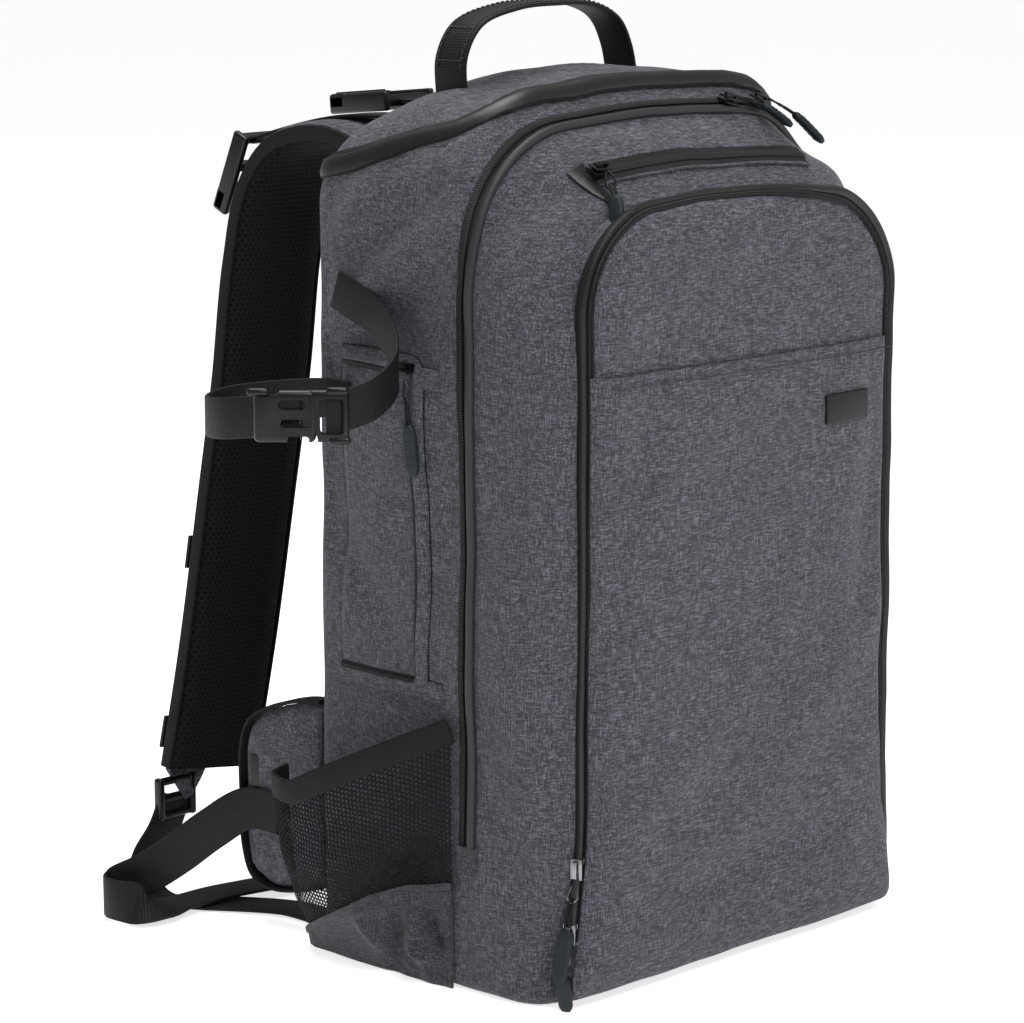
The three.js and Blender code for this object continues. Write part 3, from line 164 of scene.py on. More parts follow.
# Polyester webbing: a ribbed weave across its length, 1.7 mm a rib, with a grain of 0.9 mm along it.
def webbing(name="webbing", color="#0b0b0c", rough=0.6, worn="#19191b"):
    material, tree, inputs = bare(name, color, rough, Specular_IOR_Level=0.25)
    run = put(tree, "TexCoord", output="UV")
    ribs = {"Vector": run, "Scale": WAVE / (1.7 * MM), "Distortion": 0.4}
    ribs = put(tree, "TexWave", ribs, output="Fac", bands_direction="X")
    grain = {"Vector": run, "Scale": WAVE / (0.9 * MM), "Distortion": 0.6}
    grain = put(tree, "TexWave", grain, output="Fac", bands_direction="Y")
    spots = put(tree, "VectorMath", {0: run, 1: (900, 500, 1)}, operation="MULTIPLY")
    wear = put(tree, "TexNoise", {"Vector": spots, "Scale": 1, "Detail": 2})
    share = put(tree, "MapRange", {0: wear, 1: 0.35, 2: 0.7})
    shades = {0: share, 6: linear(color), 7: linear(worn)}
    tree.links.new(put(tree, "Mix", shades, output=2, data_type="RGBA"), inputs["Base Color"])
    roughened(tree, inputs, (ribs, 0.5, 0.25), (grain, 0.4, 0.12))
    return material


def hole_distance(tree, place, pitch):
    """How far a place is, in mm, from the middle of the nearest hole in a staggered pattern of the pitch."""
    wide, high = pitch, pitch * 3**0.5
    nearest = high
    for shift in (0.0, 0.5):
        spot = {0: place, 1: (1 / (wide * MM), 1 / (high * MM), 1), 2: (shift, shift, 0)}
        spot = put(tree, "VectorMath", spot, operation="MULTIPLY_ADD")
        spot = put(tree, "VectorMath", {0: spot}, operation="FRACTION")
        spot = {0: spot, 1: (wide, high, 0), 2: (-wide / 2, -high / 2, 0)}
        spot = put(tree, "VectorMath", spot, operation="MULTIPLY_ADD")
        reach = put(tree, "VectorMath", {0: spot}, output="Value", operation="LENGTH")
        nearest = put(tree, "Math", {0: nearest, 1: reach}, operation="MINIMUM")
    return nearest


# Knitted polyester net: round holes of 2.1 mm in a staggered pattern of 2.9 mm, soft black yarn. It is a
# little coarser than the real net, so that its holes show.
def net(name="knitted_net"):
    material, tree, inputs = bare(name, "#0d0e0f", 0.85, Specular_IOR_Level=0.2)
    run = put(tree, "TexCoord", output="UV")
    away = hole_distance(tree, run, 2.9)
    solid = put(tree, "MapRange", {0: away, 1: 0.98, 2: 1.1})
    tree.links.new(solid, inputs["Alpha"])
    yarn = put(tree, "TexNoise", {"Vector": run, "Scale": 2500, "Detail": 1})
    shades = {0: yarn, 6: linear("#08080a"), 7: linear("#18191b")}
    tree.links.new(put(tree, "Mix", shades, output=2, data_type="RGBA"), inputs["Base Color"])
    roughened(tree, inputs, (away, 0.5, 0.3))
    return material


# Spacer mesh: two knitted faces with dimples of 2 mm every 3.4 mm, dull black.
def spacer(name="spacer_mesh"):
    material, tree, inputs = bare(name, "#0b0c0d", 0.9, Specular_IOR_Level=0.2)
    place = put(tree, "TexCoord", output="Object")
    parts = [put(tree, "SeparateXYZ", {0: place}, output=k) for k in (0, 2)]
    upright = put(tree, "CombineXYZ", {0: parts[0], 1: parts[1]})
    pit = put(tree, "MapRange", {0: hole_distance(tree, upright, 3.4), 1: 0.7, 2: 1.3})
    # The dimples' middles are painted near black against the knit: painted shade in the pits.
    shades = {0: pit, 6: linear("#030304"), 7: linear("#141517")}
    tree.links.new(put(tree, "Mix", shades, output=2, data_type="RGBA"), inputs["Base Color"])
    roughened(tree, inputs, (pit, 0.8, 0.9))
    return material


# Moulded rubber: matt, dark teal-grey, with a very fine grain.
def rubber(name="pull_rubber", color="#182023", rough=0.55):
    material, tree, inputs = bare(name, color, rough, Specular_IOR_Level=0.3)
    place = put(tree, "TexCoord", output="Object")
    grain = put(tree, "TexNoise", {"Vector": place, "Scale": 1800, "Detail": 2})
    roughened(tree, inputs, (grain, 0.25, 0.2))
    return material


# Piping: a cord in a smooth polyurethane skin, dark grey, faintly creased across.
def piping_skin(name="piping_skin"):
    material, tree, inputs = bare(name, "#2a2a2c", 0.48, Specular_IOR_Level=0.35)
    run = put(tree, "TexCoord", output="UV")
    run = put(tree, "VectorMath", {0: run, 1: (220, 40, 1)}, operation="MULTIPLY")
    creases = put(tree, "TexNoise", {"Vector": run, "Scale": 1, "Detail": 2})
    roughened(tree, inputs, (creases, 0.35, 0.8))
    return material


# Acetal buckles: moulded, satin black, with a fine spark-eroded grain.
def plastic(name="acetal", color="#060607", rough=0.34):
    material, tree, inputs = bare(name, color, rough, Specular_IOR_Level=0.35)
    place = put(tree, "TexCoord", output="Object")
    grain = put(tree, "TexNoise", {"Vector": place, "Scale": 3000, "Detail": 2})
    roughened(tree, inputs, (grain, 0.15, 0.15))
    return material


# Zip sliders' metal: die-cast zinc with a bright nickel plating, slightly dulled by handling.
def nickel(name="nickel_plating"):
    material, tree, inputs = bare(name, "#8d8d90", 0.25, Metallic=1.0)
    place = put(tree, "TexCoord", output="Object")
    smears = put(tree, "TexNoise", {"Vector": place, "Scale": 400, "Detail": 3})
    dulled = put(tree, "MapRange", {0: smears, 1: 0.3, 2: 0.7, 3: 0.18, 4: 0.38})
    tree.links.new(dulled, inputs["Roughness"])
    return material


# Sewing thread: three-ply polyester, dull black.
def thread(name="sewing_thread", color="#2e2e31"):
    material, tree, inputs = bare(name, color, 0.7)
    run = put(tree, "TexCoord", output="UV")
    run = put(tree, "VectorMath", {0: run, 1: (2500, 900, 1)}, operation="MULTIPLY")
    plies = put(tree, "TexNoise", {"Vector": run, "Scale": 1})
    roughened(tree, inputs, (plies, 0.5, 0.3))
    return material


FABRIC = heather()
# A darker copy of the heather cloth for the boots, their hems and the ends of the case zip: painted shade,
# the same cloth coloured as if it lay in shadow.
FABRIC_PAINTED_SHADE = heather("heather_painted_shade", "#222225", "#37373c", "#5a5a62")
COATED = coated_tape()
COIL = coil()
WEBBING = webbing()
ELASTIC = webbing("elastic", "#08080a", 0.72, "#121214")
NET = net()
SPACER = spacer()
GRIP = rubber()
CORD = rubber("cord", "#101112", 0.8)
PIPING = piping_skin()
PLASTIC = plastic()
LABEL = plastic("label_rubber", "#0a0b0c", 0.5)
NICKEL = nickel()
THREAD = thread()


# Shapes


def smooth(xs, ys, at):
    """Values at the places at of a smooth curve through (xs, ys) that doesn't overshoot them."""
    xs, ys, at = (np.asarray(v, float) for v in (xs, ys, at))
    rise = np.diff(ys) / np.diff(xs)
    both = rise[1:] * rise[:-1]
    total = np.where(both > 0, rise[1:] + rise[:-1], 1.0)
    slope = np.concatenate([rise[:1], np.where(both > 0, 2 * both / total, 0.0), rise[-1:]])
    i = np.clip(np.searchsorted(xs, at, side="right") - 1, 0, len(xs) - 2)
    step = xs[i + 1] - xs[i]
    t = (at - xs[i]) / step
    start = ys[i] * (1 + 2 * t) * (1 - t) ** 2 + slope[i] * step * t * (1 - t) ** 2
    return start + ys[i + 1] * t**2 * (3 - 2 * t) + slope[i + 1] * step * t**2 * (t - 1)


def unit(vectors):
    return vectors / np.maximum(np.linalg.norm(vectors, axis=-1, keepdims=True), 1e-9)


def only(piece):
    bpy.ops.object.select_all(action="DESELECT")
    piece.select_set(True)
    bpy.context.view_layer.objects.active = piece


def edited(piece, *steps):
    """Runs edit-mode steps on all of a piece's mesh."""
    only(piece)
    bpy.ops.object.mode_set(mode="EDIT")
    bpy.ops.mesh.select_all(action="SELECT")
    for step, values in steps:
        step(**values)
    bpy.ops.object.mode_set(mode="OBJECT")


def smoothed(piece, angle=40):
    only(piece)
    bpy.ops.object.shade_smooth_by_angle(angle=math.radians(angle))


def modified(piece, kind, **settings):
    """Adds a modifier and applies it."""
    only(piece)
    modifier = piece.modifiers.new(kind.lower(), kind)
    for key, value in settings.items():
        setattr(modifier, key, value)
    bpy.ops.object.modifier_apply(modifier=modifier.name)
    return piece


def gridded(name, grid, finish, angle=40):
    """A surface of quads through a grid of places in mm. Its UVs are lengths in metres; doubles merge."""
    rows, columns = grid.shape[:2]
    bpy.ops.mesh.primitive_grid_add(x_subdivisions=columns - 1, y_subdivisions=rows - 1, size=1)
    piece = bpy.context.object
    piece.name = piece.data.name = name
    spots = np.empty(len(piece.data.vertices) * 3)
    piece.data.vertices.foreach_get("co", spots)
    spots = spots.reshape(-1, 3) - spots.reshape(-1, 3).min(axis=0)
    spots = spots / spots.max(axis=0).clip(1e-9)
    i = np.rint(spots[:, 1] * (rows - 1)).astype(int)
    j = np.rint(spots[:, 0] * (columns - 1)).astype(int)
    piece.data.vertices.foreach_set("co", (grid[i, j] * MM).ravel())
    along = np.linalg.norm(np.diff(grid, axis=0), axis=2).mean(axis=1)
    across = np.linalg.norm(np.diff(grid, axis=1), axis=2).mean(axis=0)
    along, across = (np.concatenate([[0], np.cumsum(v)]) for v in (along, across))
    loops = np.empty(len(piece.data.loops), int)
    piece.data.loops.foreach_get("vertex_index", loops)
    uv = np.stack([along[i], across[j]], axis=1)[loops] * MM
    piece.data.uv_layers[0].data.foreach_set("uv", uv.ravel())
    edited(
        piece,
        (bpy.ops.mesh.remove_doubles, {"threshold": 0.00001}),
        (bpy.ops.mesh.normals_make_consistent, {"inside": False}),
    )
    piece.data.materials.append(finish)
    smoothed(piece, angle)
    return piece


def placed(piece, slot, *nodes):
    """Hands a finished piece to the frame: it rides the one body and stands for the CAD nodes."""
    only(piece)
    bpy.ops.object.transform_apply(location=True, rotation=True, scale=True)
    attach(piece, "root")
    if nodes:
        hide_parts(*nodes)
    return piece


# A run of a band: its places, the direction of its width and the direction out of its face, one row each
Run = namedtuple("Run", "places across up")


def evened(points, step, *others):
    """Points along a line at an even step, and the other values taken along with them."""
    lengths = np.concatenate([[0], np.cumsum(np.linalg.norm(np.diff(points, axis=0), axis=1))])
    count = max(int(lengths[-1] / step), 2) + 1
    at = np.linspace(0, lengths[-1], count)
    taken = []
    for values in (points, *others):
        columns = np.asarray(values, float).T
        taken.append(np.stack([np.interp(at, lengths, column) for column in columns], axis=1))
    return taken


def surface_run(points, normals, step=3):
    """A run that lies on a surface along points with the surface's normals."""
    places, up = evened(np.asarray(points), step, normals)
    along = unit(np.gradient(places, axis=0))
    across = unit(np.cross(along, up))
    return Run(places, across, unit(np.cross(across, along)))


def spline(points, samples=14):
    """The centripetal curve through points, and how far along them each of its places is."""
    p = np.asarray(points, float)
    p = np.vstack([2 * p[0] - p[1], p, 2 * p[-1] - p[-2]])
    places, at = [], []
    for k in range(1, len(p) - 2):
        a, b, c, d = p[k - 1 : k + 3]
        spans = [max(np.linalg.norm(v) ** 0.5, 1e-3) for v in (b - a, c - b, d - c)]
        first = ((b - a) / spans[0] - (c - a) / (spans[0] + spans[1]) + (c - b) / spans[1]) * spans[1]
        last = ((c - b) / spans[1] - (d - b) / (spans[1] + spans[2]) + (d - c) / spans[2]) * spans[1]
        for t in np.linspace(0, 1, samples, endpoint=k == len(p) - 3):
            places.append(
                (2 * t**3 - 3 * t**2 + 1) * b
                + (t**3 - 2 * t**2 + t) * first
                + (3 * t**2 - 2 * t**3) * c
                + (t**3 - t**2) * last
            )
            at.append(k - 1 + t)
    return np.array(places), np.array(at)


def free_run(points, across, step=3, facing=None):
    """A run through free points. across is the direction of its width, one for all or one for each."""
    places, at = spline(points)
    across = np.broadcast_to(np.asarray(across, float), (len(points), 3))
    wide = np.stack([np.interp(at, np.arange(len(points)), across[:, k]) for k in range(3)], axis=1)
    places, wide = evened(places, step, wide)
    along = unit(np.gradient(places, axis=0))
    wide = unit(wide - along * np.sum(wide * along, axis=1, keepdims=True))
    up = np.cross(along, wide)
    if facing is not None and np.sum(up @ np.asarray(facing, float)) < 0:
        up, wide = -up, -wide
    return Run(places, wide, up)


def shifted(run, across=0.0, up=0.0):
    return Run(run.places + run.across * across + run.up * up, run.across, run.up)


def part_of(run, start, end):
    """The share of a run from start to end."""
    last = len(run.places) - 1
    cut = slice(int(round(start * last)), int(round(end * last)) + 1)
    return Run(run.places[cut], run.across[cut], run.up[cut])


def wavy(run, amount, length, seed):
    """The run with slow waves out of its face, none at its ends."""
    count = len(run.places)
    fade = np.minimum(1, np.minimum(np.arange(count), np.arange(count)[::-1]) / max(count * 0.12, 1))
    lift = [noise.noise(Vector(p) / length + Vector((seed, 0, 0))) * amount for p in run.places]
    return Run(run.places + run.up * (np.array(lift) * fade)[:, None], run.across, run.up)


def strip(width, thickness, steps=3):
    """The profile of a flat band with rounded edges."""
    edge = min(thickness / 2, width / 2) * 0.98
    a, b = width / 2 - edge, thickness / 2 - edge
    corners = [(a, b, 0), (-a, b, 90), (-a, -b, 180), (a, -b, 270)]
    points = []
    for x, y, start in corners:
        for turn in np.radians(start + np.linspace(0, 90, steps)):
            points.append((x + edge * math.cos(turn), y + edge * math.sin(turn)))
    return points


def banded(name, run, profile, finish, sizes=None, angle=40):
    """A closed band: the profile's points, (across, up) in mm, taken along the run."""
    ring = np.array(list(profile) + [profile[0]], float)
    sizes = np.ones((len(run.places), 2)) if sizes is None else np.asarray(sizes, float)
    grid = (
        run.places[:, None]
        + run.across[:, None] * (ring[None, :, :1] * sizes[:, None, :1])
        + run.up[:, None] * (ring[None, :, 1:] * sizes[:, None, 1:])
    )
    middle = grid[:, :-1].mean(axis=1, keepdims=True)
    ends = [np.repeat(middle[:1], len(ring), axis=1), np.repeat(middle[-1:], len(ring), axis=1)]
    return gridded(name, np.concatenate([ends[0], grid, ends[1]]), finish, angle)


def tube(radius, sides=8):
    turns = np.linspace(0, 2 * math.pi, sides, endpoint=False)
    return [(radius * math.cos(t), radius * math.sin(t)) for t in turns]


def stitches(name, run, pitch=4.0, radius=0.45):
    """A row of stitches: one thread that comes up for most of each pitch and goes under between."""
    places, across, up = evened(run.places, pitch / 6, run.across, run.up)
    phase = np.arange(len(places)) % 6
    lift = np.where(phase == 0, -1.2, np.where((phase == 1) | (phase == 5), 0.0, 0.35))
    return banded(name, Run(places + up * lift[:, None], across, up), tube(radius, 6), THREAD)


def joined(name, *pieces):
    bpy.ops.object.select_all(action="DESELECT")
    for piece in pieces:
        piece.select_set(True)
    bpy.context.view_layer.objects.active = pieces[0]
    if len(pieces) > 1:
        bpy.ops.object.join()
    pieces[0].name = pieces[0].data.name = name
    return pieces[0]


def block(name, size, finish, at, axes, bevel, segments=3):
    """A bevelled block in mm. axes are the directions of its sides."""
    bpy.ops.mesh.primitive_cube_add(size=1)
    piece = bpy.context.object
    piece.name = piece.data.name = name
    piece.scale = [s * MM for s in size]
    bpy.ops.object.transform_apply(scale=True)
    edited(piece, (bpy.ops.mesh.bevel, {"offset": bevel * MM, "segments": segments, "profile": 0.5}))
    piece.data.materials.append(finish)
    turn = Matrix(unit(np.asarray(axes, float))).transposed()
    piece.data.transform(Matrix.Translation(Vector(at) * MM) @ turn.to_4x4())
    if turn.determinant() < 0:
        edited(piece, (bpy.ops.mesh.flip_normals, {}))
    smoothed(piece)
    return piece


def holed(piece, *cutters):
    """Cuts the cutters' shapes out of a piece."""
    for cutter in cutters:
        only(piece)
        modifier = piece.modifiers.new("hole", "BOOLEAN")
        modifier.operation, modifier.object, modifier.solver = "DIFFERENCE", cutter, "EXACT"
        bpy.ops.object.modifier_apply(modifier=modifier.name)
        bpy.data.objects.remove(cutter)
    smoothed(piece)
    return piece


def stuffed(piece, pressure=4.0, cap=2.5):
    """Fills a padded piece out: Cloth under pressure without gravity, its way held to cap in mm."""
    count = len(piece.data.vertices)
    before, after = np.empty(count * 3), np.empty(count * 3)
    piece.data.vertices.foreach_get("co", before)
    only(piece)
    cloth = piece.modifiers.new("stuffing", "CLOTH")
    cloth.settings.use_pressure = True
    cloth.settings.uniform_pressure_force = pressure
    cloth.settings.effector_weights.gravity = 0
    cloth.settings.quality = 4
    cloth.point_cache.frame_end = 20
    for step in range(1, 21):
        bpy.context.scene.frame_set(step)
    bpy.ops.object.modifier_apply(modifier=cloth.name)
    bpy.context.scene.frame_set(1)
    piece.data.vertices.foreach_get("co", after)
    move = (after - before).reshape(-1, 3)
    way = np.linalg.norm(move, axis=1, keepdims=True).clip(1e-9)
    held = move * np.minimum(1, cap * MM / way)
    piece.data.vertices.foreach_set("co", (before.reshape(-1, 3) + held).ravel())
    piece.data.update()
    return piece


def remeshed(name, node, voxel, finish):
    """A copy of a CAD node's mesh in even quads."""
    piece = bpy.data.objects.new(name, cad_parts[node].data.copy())
    bpy.context.collection.objects.link(piece)
    piece.data.name = name
    piece.data.materials.clear()
    edited(piece, (bpy.ops.mesh.remove_doubles, {"threshold": 0.00001}))
    piece.data.remesh_voxel_size = voxel * MM
    bpy.ops.object.voxel_remesh()
    modified(piece, "SMOOTH", iterations=4, factor=0.5)
    piece.data.materials.append(finish)
    smoothed(piece, 60)
    return piece


# The bag's form: sections from the back panel to the front face

BODY_WIDTH, BODY_HEIGHT = 308, 500
BACK_Y, JOINT_Y, FACE_Y = 88, -36, -98
REAR_CROWN, TOP_CORNER, FOOT = 40, 78, 7
HALF = BODY_WIDTH / 2

# half and top are shares of the half width and the height, low how far the foot is lifted, in shares of
# the height, crown and corner shares of the rear crown and of the top corner's radius
BagSection = namedtuple("BagSection", "y half top low crown corner")
BAG_SECTIONS = [
    BagSection(88.0, 0.930, 0.968, 0.000, 1.00, 0.42),
    BagSection(84.3, 0.968, 0.984, 0.000, 1.00, 0.50),
    BagSection(75.6, 0.986, 0.993, 0.000, 0.95, 0.60),
    BagSection(40.9, 0.996, 1.000, 0.000, 0.70, 0.85),
    BagSection(1.2, 1.000, 1.000, 0.000, 0.42, 1.00),
    BagSection(-19.9, 1.000, 0.996, 0.000, 0.34, 1.00),
    BagSection(-29.8, 0.998, 0.978, 0.000, 0.30, 1.00),
    BagSection(-36.0, 0.994, 0.963, 0.000, 0.30, 1.00),
    BagSection(-51.5, 0.990, 0.936, 0.000, 0.30, 1.00),
    BagSection(-67.0, 0.982, 0.908, 0.000, 0.30, 1.02),
    BagSection(-80.6, 0.952, 0.880, 0.000, 0.30, 1.00),
    BagSection(-90.6, 0.885, 0.850, 0.003, 0.30, 0.95),
    BagSection(-96.1, 0.810, 0.815, 0.014, 0.30, 0.90),
    BagSection(-98.0, 0.750, 0.775, 0.026, 0.30, 0.85),
]
BASE_COLUMNS, FOOT_COLUMNS, SIDE_COLUMNS, CORNER_COLUMNS, CROWN_COLUMNS = 20, 4, 90, 26, 18


def arc(x, z, radius, start, end, steps):
    turns = np.linspace(start, end, steps + 1)
    return np.stack([x + radius * np.cos(turns), z + radius * np.sin(turns)], axis=1)


def outline(half, top, low, crown, corner, foot=FOOT):
    """A closed outline from the middle of the base up the right side, over the top and down the left."""
    crown_radius = (half**2 + crown**2) / (2 * crown)
    crown_z = top - crown_radius
    corner_x = half - corner
    corner_z = crown_z + math.sqrt((crown_radius - corner) ** 2 - corner_x**2)
    turn = math.atan2(corner_z - crown_z, corner_x)
    base = np.linspace([0, low], [half - foot, low], BASE_COLUMNS + 1)
    side = np.linspace([half, low + foot], [half, corner_z], SIDE_COLUMNS + 1)
    right = np.vstack(
        [
            base[:-1],
            arc(half - foot, low + foot, foot, -math.pi / 2, 0, FOOT_COLUMNS)[:-1],
            side[:-1],
            arc(corner_x, corner_z, corner, 0, turn, CORNER_COLUMNS)[:-1],
            arc(0, crown_z, crown_radius, turn, math.pi / 2, CROWN_COLUMNS),
        ]
    )
    return np.vstack([right, right[-2::-1] * [-1, 1]])


MIDDLE = BASE_COLUMNS + FOOT_COLUMNS + SIDE_COLUMNS + CORNER_COLUMNS + CROWN_COLUMNS

# Folds in the cloth: a fold runs along its direction through its place. Its depth is negative for a dent,
# and all depths are taken FOLD_GAIN times
FOLD_GAIN = 1.8
Fold = namedtuple("Fold", "x y z dx dy dz length width depth")
FOLDS = [
    Fold(-154, 20, 420, 0, 1.0, -0.55, 60, 13, -3.5),
    Fold(-154, 30, 395, 0, 1.0, -0.75, 55, 12, 3.0),
    Fold(-154, 25, 372, 0, 1.0, -0.6, 50, 12, -3.0),
    Fold(-154, 48, 425, 0, 0.5, -1.0, 40, 12, 2.5),
    Fold(-154, -18, 250, 0, 0.25, -1.0, 70, 12, -2.0),
    Fold(-154, 20, 280, 0, 0.6, -1.0, 60, 16, 2.5),
    Fold(-154, 45, 220, 0, 0.7, 1.0, 60, 14, -2.5),
    Fold(-154, 75, 330, 0, 0.1, 1.0, 80, 10, -2.0),
    Fold(-150, -60, 300, 0, -0.3, 1.0, 90, 14, -2.0),
    Fold(-150, -66, 180, 0, 0.2, 1.0, 80, 12, 2.0),
    Fold(-148, -64, 90, 0, 0.5, 1.0, 60, 12, -2.0),
    Fold(-120, -60, 440, 1, -0.6, 0.6, 50, 10, -2.5),
    Fold(-40, -60, 470, 1, -0.35, 0, 50, 9, 2.0),
    Fold(50, -62, 468, 1, 0.3, 0, 50, 10, -2.0),
    Fold(120, -62, 440, 1, 0.5, -0.7, 45, 10, 2.5),
    Fold(-80, 20, 495, 1, 0.4, 0.1, 60, 16, -2.5),
    Fold(20, 30, 500, 1, -0.5, 0, 60, 16, 2.0),
    Fold(128, -8, 458, 0, 1.0, 0, 44, 36, -9.0),
    Fold(154, 20, 300, 0, 0.6, -1.0, 70, 14, -2.5),
    Fold(154, 40, 380, 0, 1.0, 0.6, 60, 14, 2.5),
    Fold(154, -10, 200, 0, -0.4, 1.0, 70, 14, 2.5),
]


def crumple(points, coarse=2.0, fine=0.7, folds=FOLDS):
    """How far in mm the cloth stands out at each point: slow waves, small creases and the folds."""
    flat = points.reshape(-1, 3)
    waves = [noise.noise(Vector(p) / 75) for p in flat]
    creases = [noise.noise(Vector(p) / 24 + Vector((7, 3, 1))) for p in flat]
    out = coarse * np.array(waves) + fine * np.array(creases)
    for fold in folds:
        away = flat - [fold.x, fold.y, fold.z]
        way = unit(np.array([fold.dx, fold.dy, fold.dz], float))
        along = away @ way
        beside = np.linalg.norm(away - along[:, None] * way, axis=1)
        out += FOLD_GAIN * fold.depth * np.exp(-((along / fold.length) ** 2) - (beside / fold.width) ** 2)
    return out.reshape(points.shape[:-1])


def grid_normals(grid, centre):
    """Normals of a grid of places, turned away from centre."""
    normals = unit(np.cross(np.gradient(grid, axis=0), np.gradient(grid, axis=1)))
    facing = np.sum(normals * (grid - centre), axis=-1)
    return normals * np.sign(np.sum(facing))


def bag_grid():
    """The bag's skin: its rows' y and its places with the cloth's folds."""
    rows = np.array(BAG_SECTIONS)
    back = BACK_Y - rows[:, 0]
    depth = np.concatenate([np.linspace(0, 12, 7), np.linspace(16, 166, 38), np.linspace(169, 186, 12)])
    shares = np.stack([smooth(back, rows[:, k], depth) for k in range(1, 6)], axis=1)
    shares *= [HALF, BODY_HEIGHT, BODY_HEIGHT, REAR_CROWN, TOP_CORNER]
    ys = BACK_Y - depth
    grid = np.stack([np.insert(outline(*row), 1, y, axis=1) for y, row in zip(ys, shares)])
    normals = grid_normals(grid, np.array([0, 0, BODY_HEIGHT / 2]))
    at_edge = np.minimum(1, np.minimum(depth + 2, 200 - depth) / 14)
    grid = grid + normals * (crumple(grid) * at_edge[:, None])[..., None]
    grid[..., 2] = grid[..., 2].clip(0.3)
    return ys, grid


skin_y, skin = bag_grid()
skin_normals = grid_normals(skin, np.array([0, 0, BODY_HEIGHT / 2]))


def blended(values, row, column):
    """Values of a grid between its rows and columns."""
    i, j = int(np.clip(row, 0, len(values) - 2)), int(np.clip(column, 0, values.shape[1] - 2))
    s, t = row - i, column - j
    low = values[i, j] * (1 - t) + values[i, j + 1] * t
    high = values[i + 1, j] * (1 - t) + values[i + 1, j + 1] * t
    return low * (1 - s) + high * s


def row_of(y):
    return float(np.interp(-y, -skin_y, np.arange(len(skin_y))))


def on_skin(y, column):
    """The skin's place and normal at y and a column."""
    row = row_of(y)
    return blended(skin, row, column), unit(blended(skin_normals, row, column))


def column_at(y, z, side):
    """The column where the skin is z high on a side."""
    row = row_of(y)
    i = int(min(row, len(skin) - 2))
    heights = skin[i, : MIDDLE + 1, 2] * (1 - row + i) + skin[i + 1, : MIDDLE + 1, 2] * (row - i)
    column = float(np.interp(z, np.maximum.accumulate(heights), np.arange(MIDDLE + 1)))
    return column if side > 0 else 2 * MIDDLE - column


def skin_run(spots, step=3):
    """A run on the skin through (y, column) spots."""
    found = [on_skin(*spot) for spot in spots]
    return surface_run([p for p, _ in found], [n for _, n in found], step)


def capped(grid, inner, first=True, rings=14, bulge=0.0):
    """The grid with its first or last ring closed by rings that shrink towards inner."""
    ring = grid[0] if first else grid[-1]
    shares = 1 - np.linspace(1, 0, rings + 1)[1:]
    rows = [ring + (inner - ring) * s + np.array([0, bulge * math.sin(s * math.pi / 2), 0]) for s in shares]
    return np.concatenate([rows[::-1], grid]) if first else np.concatenate([grid, rows])


LID_REAR_Z, LID_FRONT_Z, LID_FRONT_Y, LID_RADIUS = 450, 464, -22, 34


def lid_z(y):
    """The height of the lid's lower edge at y, seen from the side."""
    turn_y = LID_FRONT_Y + LID_RADIUS
    slope = (LID_FRONT_Z - LID_REAR_Z) / (BACK_Y - turn_y)
    ahead = np.clip(turn_y - np.asarray(y, float), 0, LID_RADIUS)
    level = LID_REAR_Z + slope * (BACK_Y - np.maximum(y, turn_y))
    return level + LID_RADIUS - np.sqrt(LID_RADIUS**2 - ahead**2)


def lid_spots():
    """(y, column) spots along the lid's edge, from the left side's rear over the front to the right."""
    sides = [(y, column_at(y, float(lid_z(y)), 1)) for y in np.linspace(84, 22, 16)]
    fine = np.linspace(LID_FRONT_Y + 0.2, 24, 120)
    top = []
    for column in np.linspace(sides[-1][1], MIDDLE, 60)[1:]:
        rise = np.array([on_skin(y, column)[0][2] for y in fine]) - lid_z(fine)
        above = np.nonzero(rise > 0)[0]
        top.append((float(fine[above[0]]) if len(above) else LID_FRONT_Y, float(column)))
    right = sides + top
    left = [(y, 2 * MIDDLE - column) for y, column in right]
    return left + right[-2::-1]


DOOR_TOP, DOOR_BOTTOM, DOOR_FRONT_Y, DOOR_REAR_Y = 348, 167, -2, 64
PANEL_MIDDLE_Z = 240


def faces_where(piece, test):
    """Splits off the faces whose middle, in mm, passes the test, and returns them as a piece."""
    only(piece)
    bpy.ops.object.mode_set(mode="EDIT")
    bpy.ops.mesh.select_all(action="DESELECT")
    bpy.ops.object.mode_set(mode="OBJECT")
    for face in piece.data.polygons:
        face.select = bool(test(face.center / MM))
    bpy.ops.object.mode_set(mode="EDIT")
    bpy.ops.mesh.separate(type="SELECTED")
    bpy.ops.object.mode_set(mode="OBJECT")
    return [o for o in bpy.context.selected_objects if o != piece][0]


def walled(piece, thickness, offset=-1):
    return modified(piece, "SOLIDIFY", thickness=thickness * MM, offset=offset)


def make_body():
    joint = int(round(row_of(JOINT_Y)))
    back = capped(skin[: joint + 1], np.array([0, BACK_Y, PANEL_MIDDLE_Z]))
    shell = gridded("main_shell_cloth", back, FABRIC)
    door = faces_where(
        shell,
        lambda p: p.x < -100 and DOOR_FRONT_Y < p.y < DOOR_REAR_Y and DOOR_BOTTOM < p.z < DOOR_TOP,
    )
    lid = faces_where(shell, lambda p: p.z > lid_z(p.y) and p.y > LID_FRONT_Y)
    front = capped(skin[joint:], np.array([0, FACE_Y, PANEL_MIDDLE_Z]), first=False)
    case = gridded("front_case_cloth", front, FABRIC)
    for piece, name, node in (
        (shell, "main_shell_cloth", "main_shell"),
        (door, "side_door_cloth", "side_door"),
        (lid, "lid_cloth", "lid"),
        (case, "front_case_cloth", "front_case"),
    ):
        piece.name = piece.data.name = name
        placed(walled(piece, 3), "main_fabric", node)


# The front pocket, in nested outlines from its root to its face: rise in mm over the case's face, inset
# how far the sides and the top draw in, foot how far the foot does

POCKET_HALF, POCKET_TOP, POCKET_LOW, POCKET_CORNER, POCKET_CROWN = 123, 438, 4, 54, 8
POCKET_FLARE, FLARE_TOP = 0.13, 95
SLIP_TOP, SLIP_HEM = 349, 343

